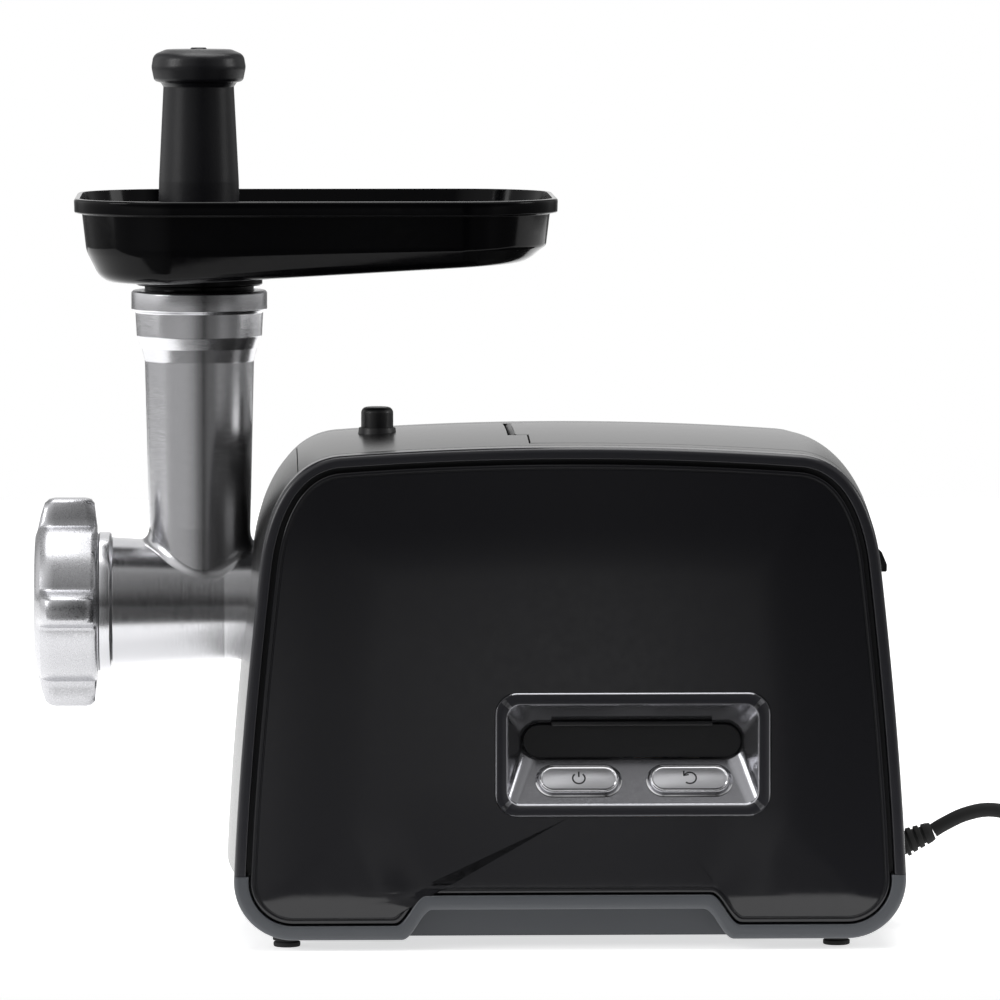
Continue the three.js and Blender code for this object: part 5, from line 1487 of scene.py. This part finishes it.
# ---------------------------------------------------------------- the studio
@dataclass
class Studio:
    """A pale floor, a soft sky and the camera."""

    lens: float = 288.0
    distance: float = 3.44
    pitch: float = 4.4
    yaw: float = 1.75
    aim: tuple[float, float, float] = (0.0139, 0.0, 0.184)
    floor_half: float = 1.3
    floor_front: float = 0.205
    floor_glow: float = 0.62
    lamps: tuple[tuple[str, Point3, Point3, float, float], ...] = (
        ("top", (0.1, 0.25, 2.1), (0.05, 0, 0), 1.7, 26),
        ("left", (-2.2, -0.9, 1.1), (0, 0, 0.2), 1.0, 14),
        ("right", (2.3, -0.2, 1.0), (0, 0, 0.2), 0.8, 8),
    )
    front_across: tuple[Point2, ...] = (
        (-1.9, 0.9), (-0.6, 0.95), (-0.25, 0.75), (-0.1, 0.5), (-0.04, 0.25), (0.008, 0.27), (0.025, 0.5),
        (0.045, 0.62), (0.06, 0.34), (0.078, 0.08), (0.16, 0.05), (0.3, 0.3), (0.6, 0.3), (0.9, 0.6),
        (1.9, 0.4),
    )
    front_upward: tuple[Point2, ...] = (
        (-0.6, 0.3), (-0.18, 0.5), (-0.125, 0.6), (-0.095, 0.92), (-0.078, 0.32), (-0.05, 0.12),
        (0.1, 0.2), (0.5, 0.8), (1.5, 1.0),
    )
    back_upward: tuple[Point2, ...] = ((-0.6, 0.2), (-0.05, 0.5), (0.0, 0.95), (0.6, 0.9), (1.0, 1.0))
    back_across: tuple[Point2, ...] = (
        (-1.0, 0.95), (-0.75, 1.0), (-0.5, 0.3), (-0.22, 0.4), (-0.13, 1.0),
        (0.13, 1.0), (0.22, 0.4), (0.5, 0.15), (0.75, 0.55), (1.0, 0.35),
    )

    def build(self) -> None:
        """Make the camera, the floor and the lights."""
        self.camera()
        self.floor()
        self.sky()
        for lamp in self.lamps:
            self.lamp(*lamp)
        bpy.context.scene.view_settings.view_transform = "Standard"

    def camera(self) -> None:
        """Place the camera a little above the machine, looking at its control side."""
        pitch, yaw = math.radians(self.pitch), math.radians(self.yaw)
        away = Vector((-math.sin(yaw) * math.cos(pitch), -math.cos(yaw) * math.cos(pitch), math.sin(pitch)))
        data = bpy.data.cameras.new("camera")
        data.lens = self.lens
        made = bpy.data.objects.new("camera", data)
        made.location = Vector(self.aim) + away * self.distance
        made.rotation_euler = (-away).to_track_quat("-Z", "Y").to_euler()
        bpy.context.scene.collection.objects.link(made)
        bpy.context.scene.camera = made

    def floor(self) -> None:
        """Make the pale floor, which ends just in front of the camera's view."""
        bm = bmesh.new()
        bmesh.ops.create_grid(bm, x_segments=1, y_segments=1, size=self.floor_half)
        bmesh.ops.translate(bm, vec=(0, self.floor_half - self.floor_front, 0), verts=bm.verts)
        mesh = bpy.data.meshes.new("floor")
        bm.to_mesh(mesh)
        bm.free()
        paper = Finish("floor_paper", (0.85, 0.85, 0.85), 0.7, scale=40, bump=0.0, mottle=0.0).material()
        glow = {
            "Specular IOR Level": 0.0, "Emission Color": (1, 1, 1, 1),
            "Emission Strength": self.floor_glow
        }
        fill(paper.node_tree, paper.node_tree.nodes["Principled BSDF"], glow)
        mesh.materials.append(paper)
        made = bpy.data.objects.new("floor", mesh)
        bpy.context.scene.collection.objects.link(made)

    def sky(self) -> None:
        """Surround the scene with light: white behind and above, and a few soft panels in front."""
        world = bpy.data.worlds.new("studio")
        world.use_nodes = True
        tree = world.node_tree
        split_way = tree.nodes.new("ShaderNodeSeparateXYZ")
        place = tree.nodes.new("ShaderNodeTexCoord")
        way = fill(tree, split_way, {"Vector": place.outputs["Generated"]}).outputs

        def math_node(operation: str, *values: float | bpy.types.NodeSocket) -> bpy.types.NodeSocket:
            """Add one sum and return its result."""
            node = tree.nodes.new("ShaderNodeMath")
            node.operation = operation
            return fill(tree, node, dict(enumerate(values))).outputs["Value"]

        def ramp(
            value: bpy.types.NodeSocket, low: float, high: float, stops: Sequence[Point2]
        ) -> bpy.types.NodeSocket:
            """Add a grey ramp whose stops are given in the value's own numbers."""
            node = tree.nodes.new("ShaderNodeValToRGB")
            fill(tree, node, {"Fac": math_node("DIVIDE", math_node("SUBTRACT", value, low), high - low)})
            elements = node.color_ramp.elements
            first, *inner, last = [
                ((at - low) / (high - low), (grey, grey, grey, 1))
                for at, grey in sorted(stops)
            ]
            elements[0].position, elements[0].color = first
            elements[1].position, elements[1].color = last
            for position, color in inner:
                elements.new(position).color = color
            return node.outputs["Color"]

        ahead = math_node("MAXIMUM", math_node("MULTIPLY", way["Y"], -1.0), 0.02)
        across = ramp(math_node("DIVIDE", way["X"], ahead), -2, 2, self.front_across)
        upward = ramp(math_node("DIVIDE", way["Z"], ahead), -1, 2, self.front_upward)
        front = math_node("MULTIPLY", across, upward)
        rise = ramp(way["Z"], -1, 1, self.back_upward)
        around = math_node("MULTIPLY", rise, ramp(way["X"], -1, 1, self.back_across))
        share = ramp(way["Y"], -1, 1, [(-0.5, 1.0), (-0.12, 0.0)])
        behind = math_node("MULTIPLY", around, math_node("SUBTRACT", 1.0, share))
        blend = math_node("ADD", math_node("MULTIPLY", front, share), behind)
        seen = tree.nodes.new("ShaderNodeLightPath").outputs["Is Camera Ray"]
        strength = math_node("MAXIMUM", blend, seen)
        fill(tree, tree.nodes["Background"], {"Strength": strength, "Color": (1, 1, 1, 1)})
        bpy.context.scene.world = world

    @staticmethod
    def lamp(name: str, place: Point3, target: Point3, size: float, power: float) -> None:
        """Add a square soft box that looks at a target."""
        data = bpy.data.lights.new(name, "AREA")
        data.size = size
        data.energy = power
        made = bpy.data.objects.new(name, data)
        made.location = place
        made.rotation_euler = (Vector(place) - Vector(target)).to_track_quat("Z", "Y").to_euler()
        bpy.context.scene.collection.objects.link(made)


def dress_nodes() -> None:
    """Give every CAD node that still shows the finish of its slot."""
    slots = {entry["node"]: entry["material_slot"] for entry in frame["record"]["subparts"]}
    for name, node in frame["nodes"].items():
        material = BY_SLOT[slots[name]].material()
        if not node.material_slots:
            node.data.materials.append(material)
        for place in node.material_slots:
            place.material = material


def write_sizes() -> None:
    """Bring the scene's matrices up to date."""
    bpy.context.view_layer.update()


def main() -> None:
    """Build the machine and its studio."""
    logging.basicConfig(level=logging.INFO, format="%(name)s: %(message)s")
    Studio().build()
    MainsLead().build()
    dress_nodes()
    for assembly in (Casing(), Controls(), GrindingHead(), Hopper()):
        assembly.build()
    write_sizes()


if __name__ == "__main__":
    main()
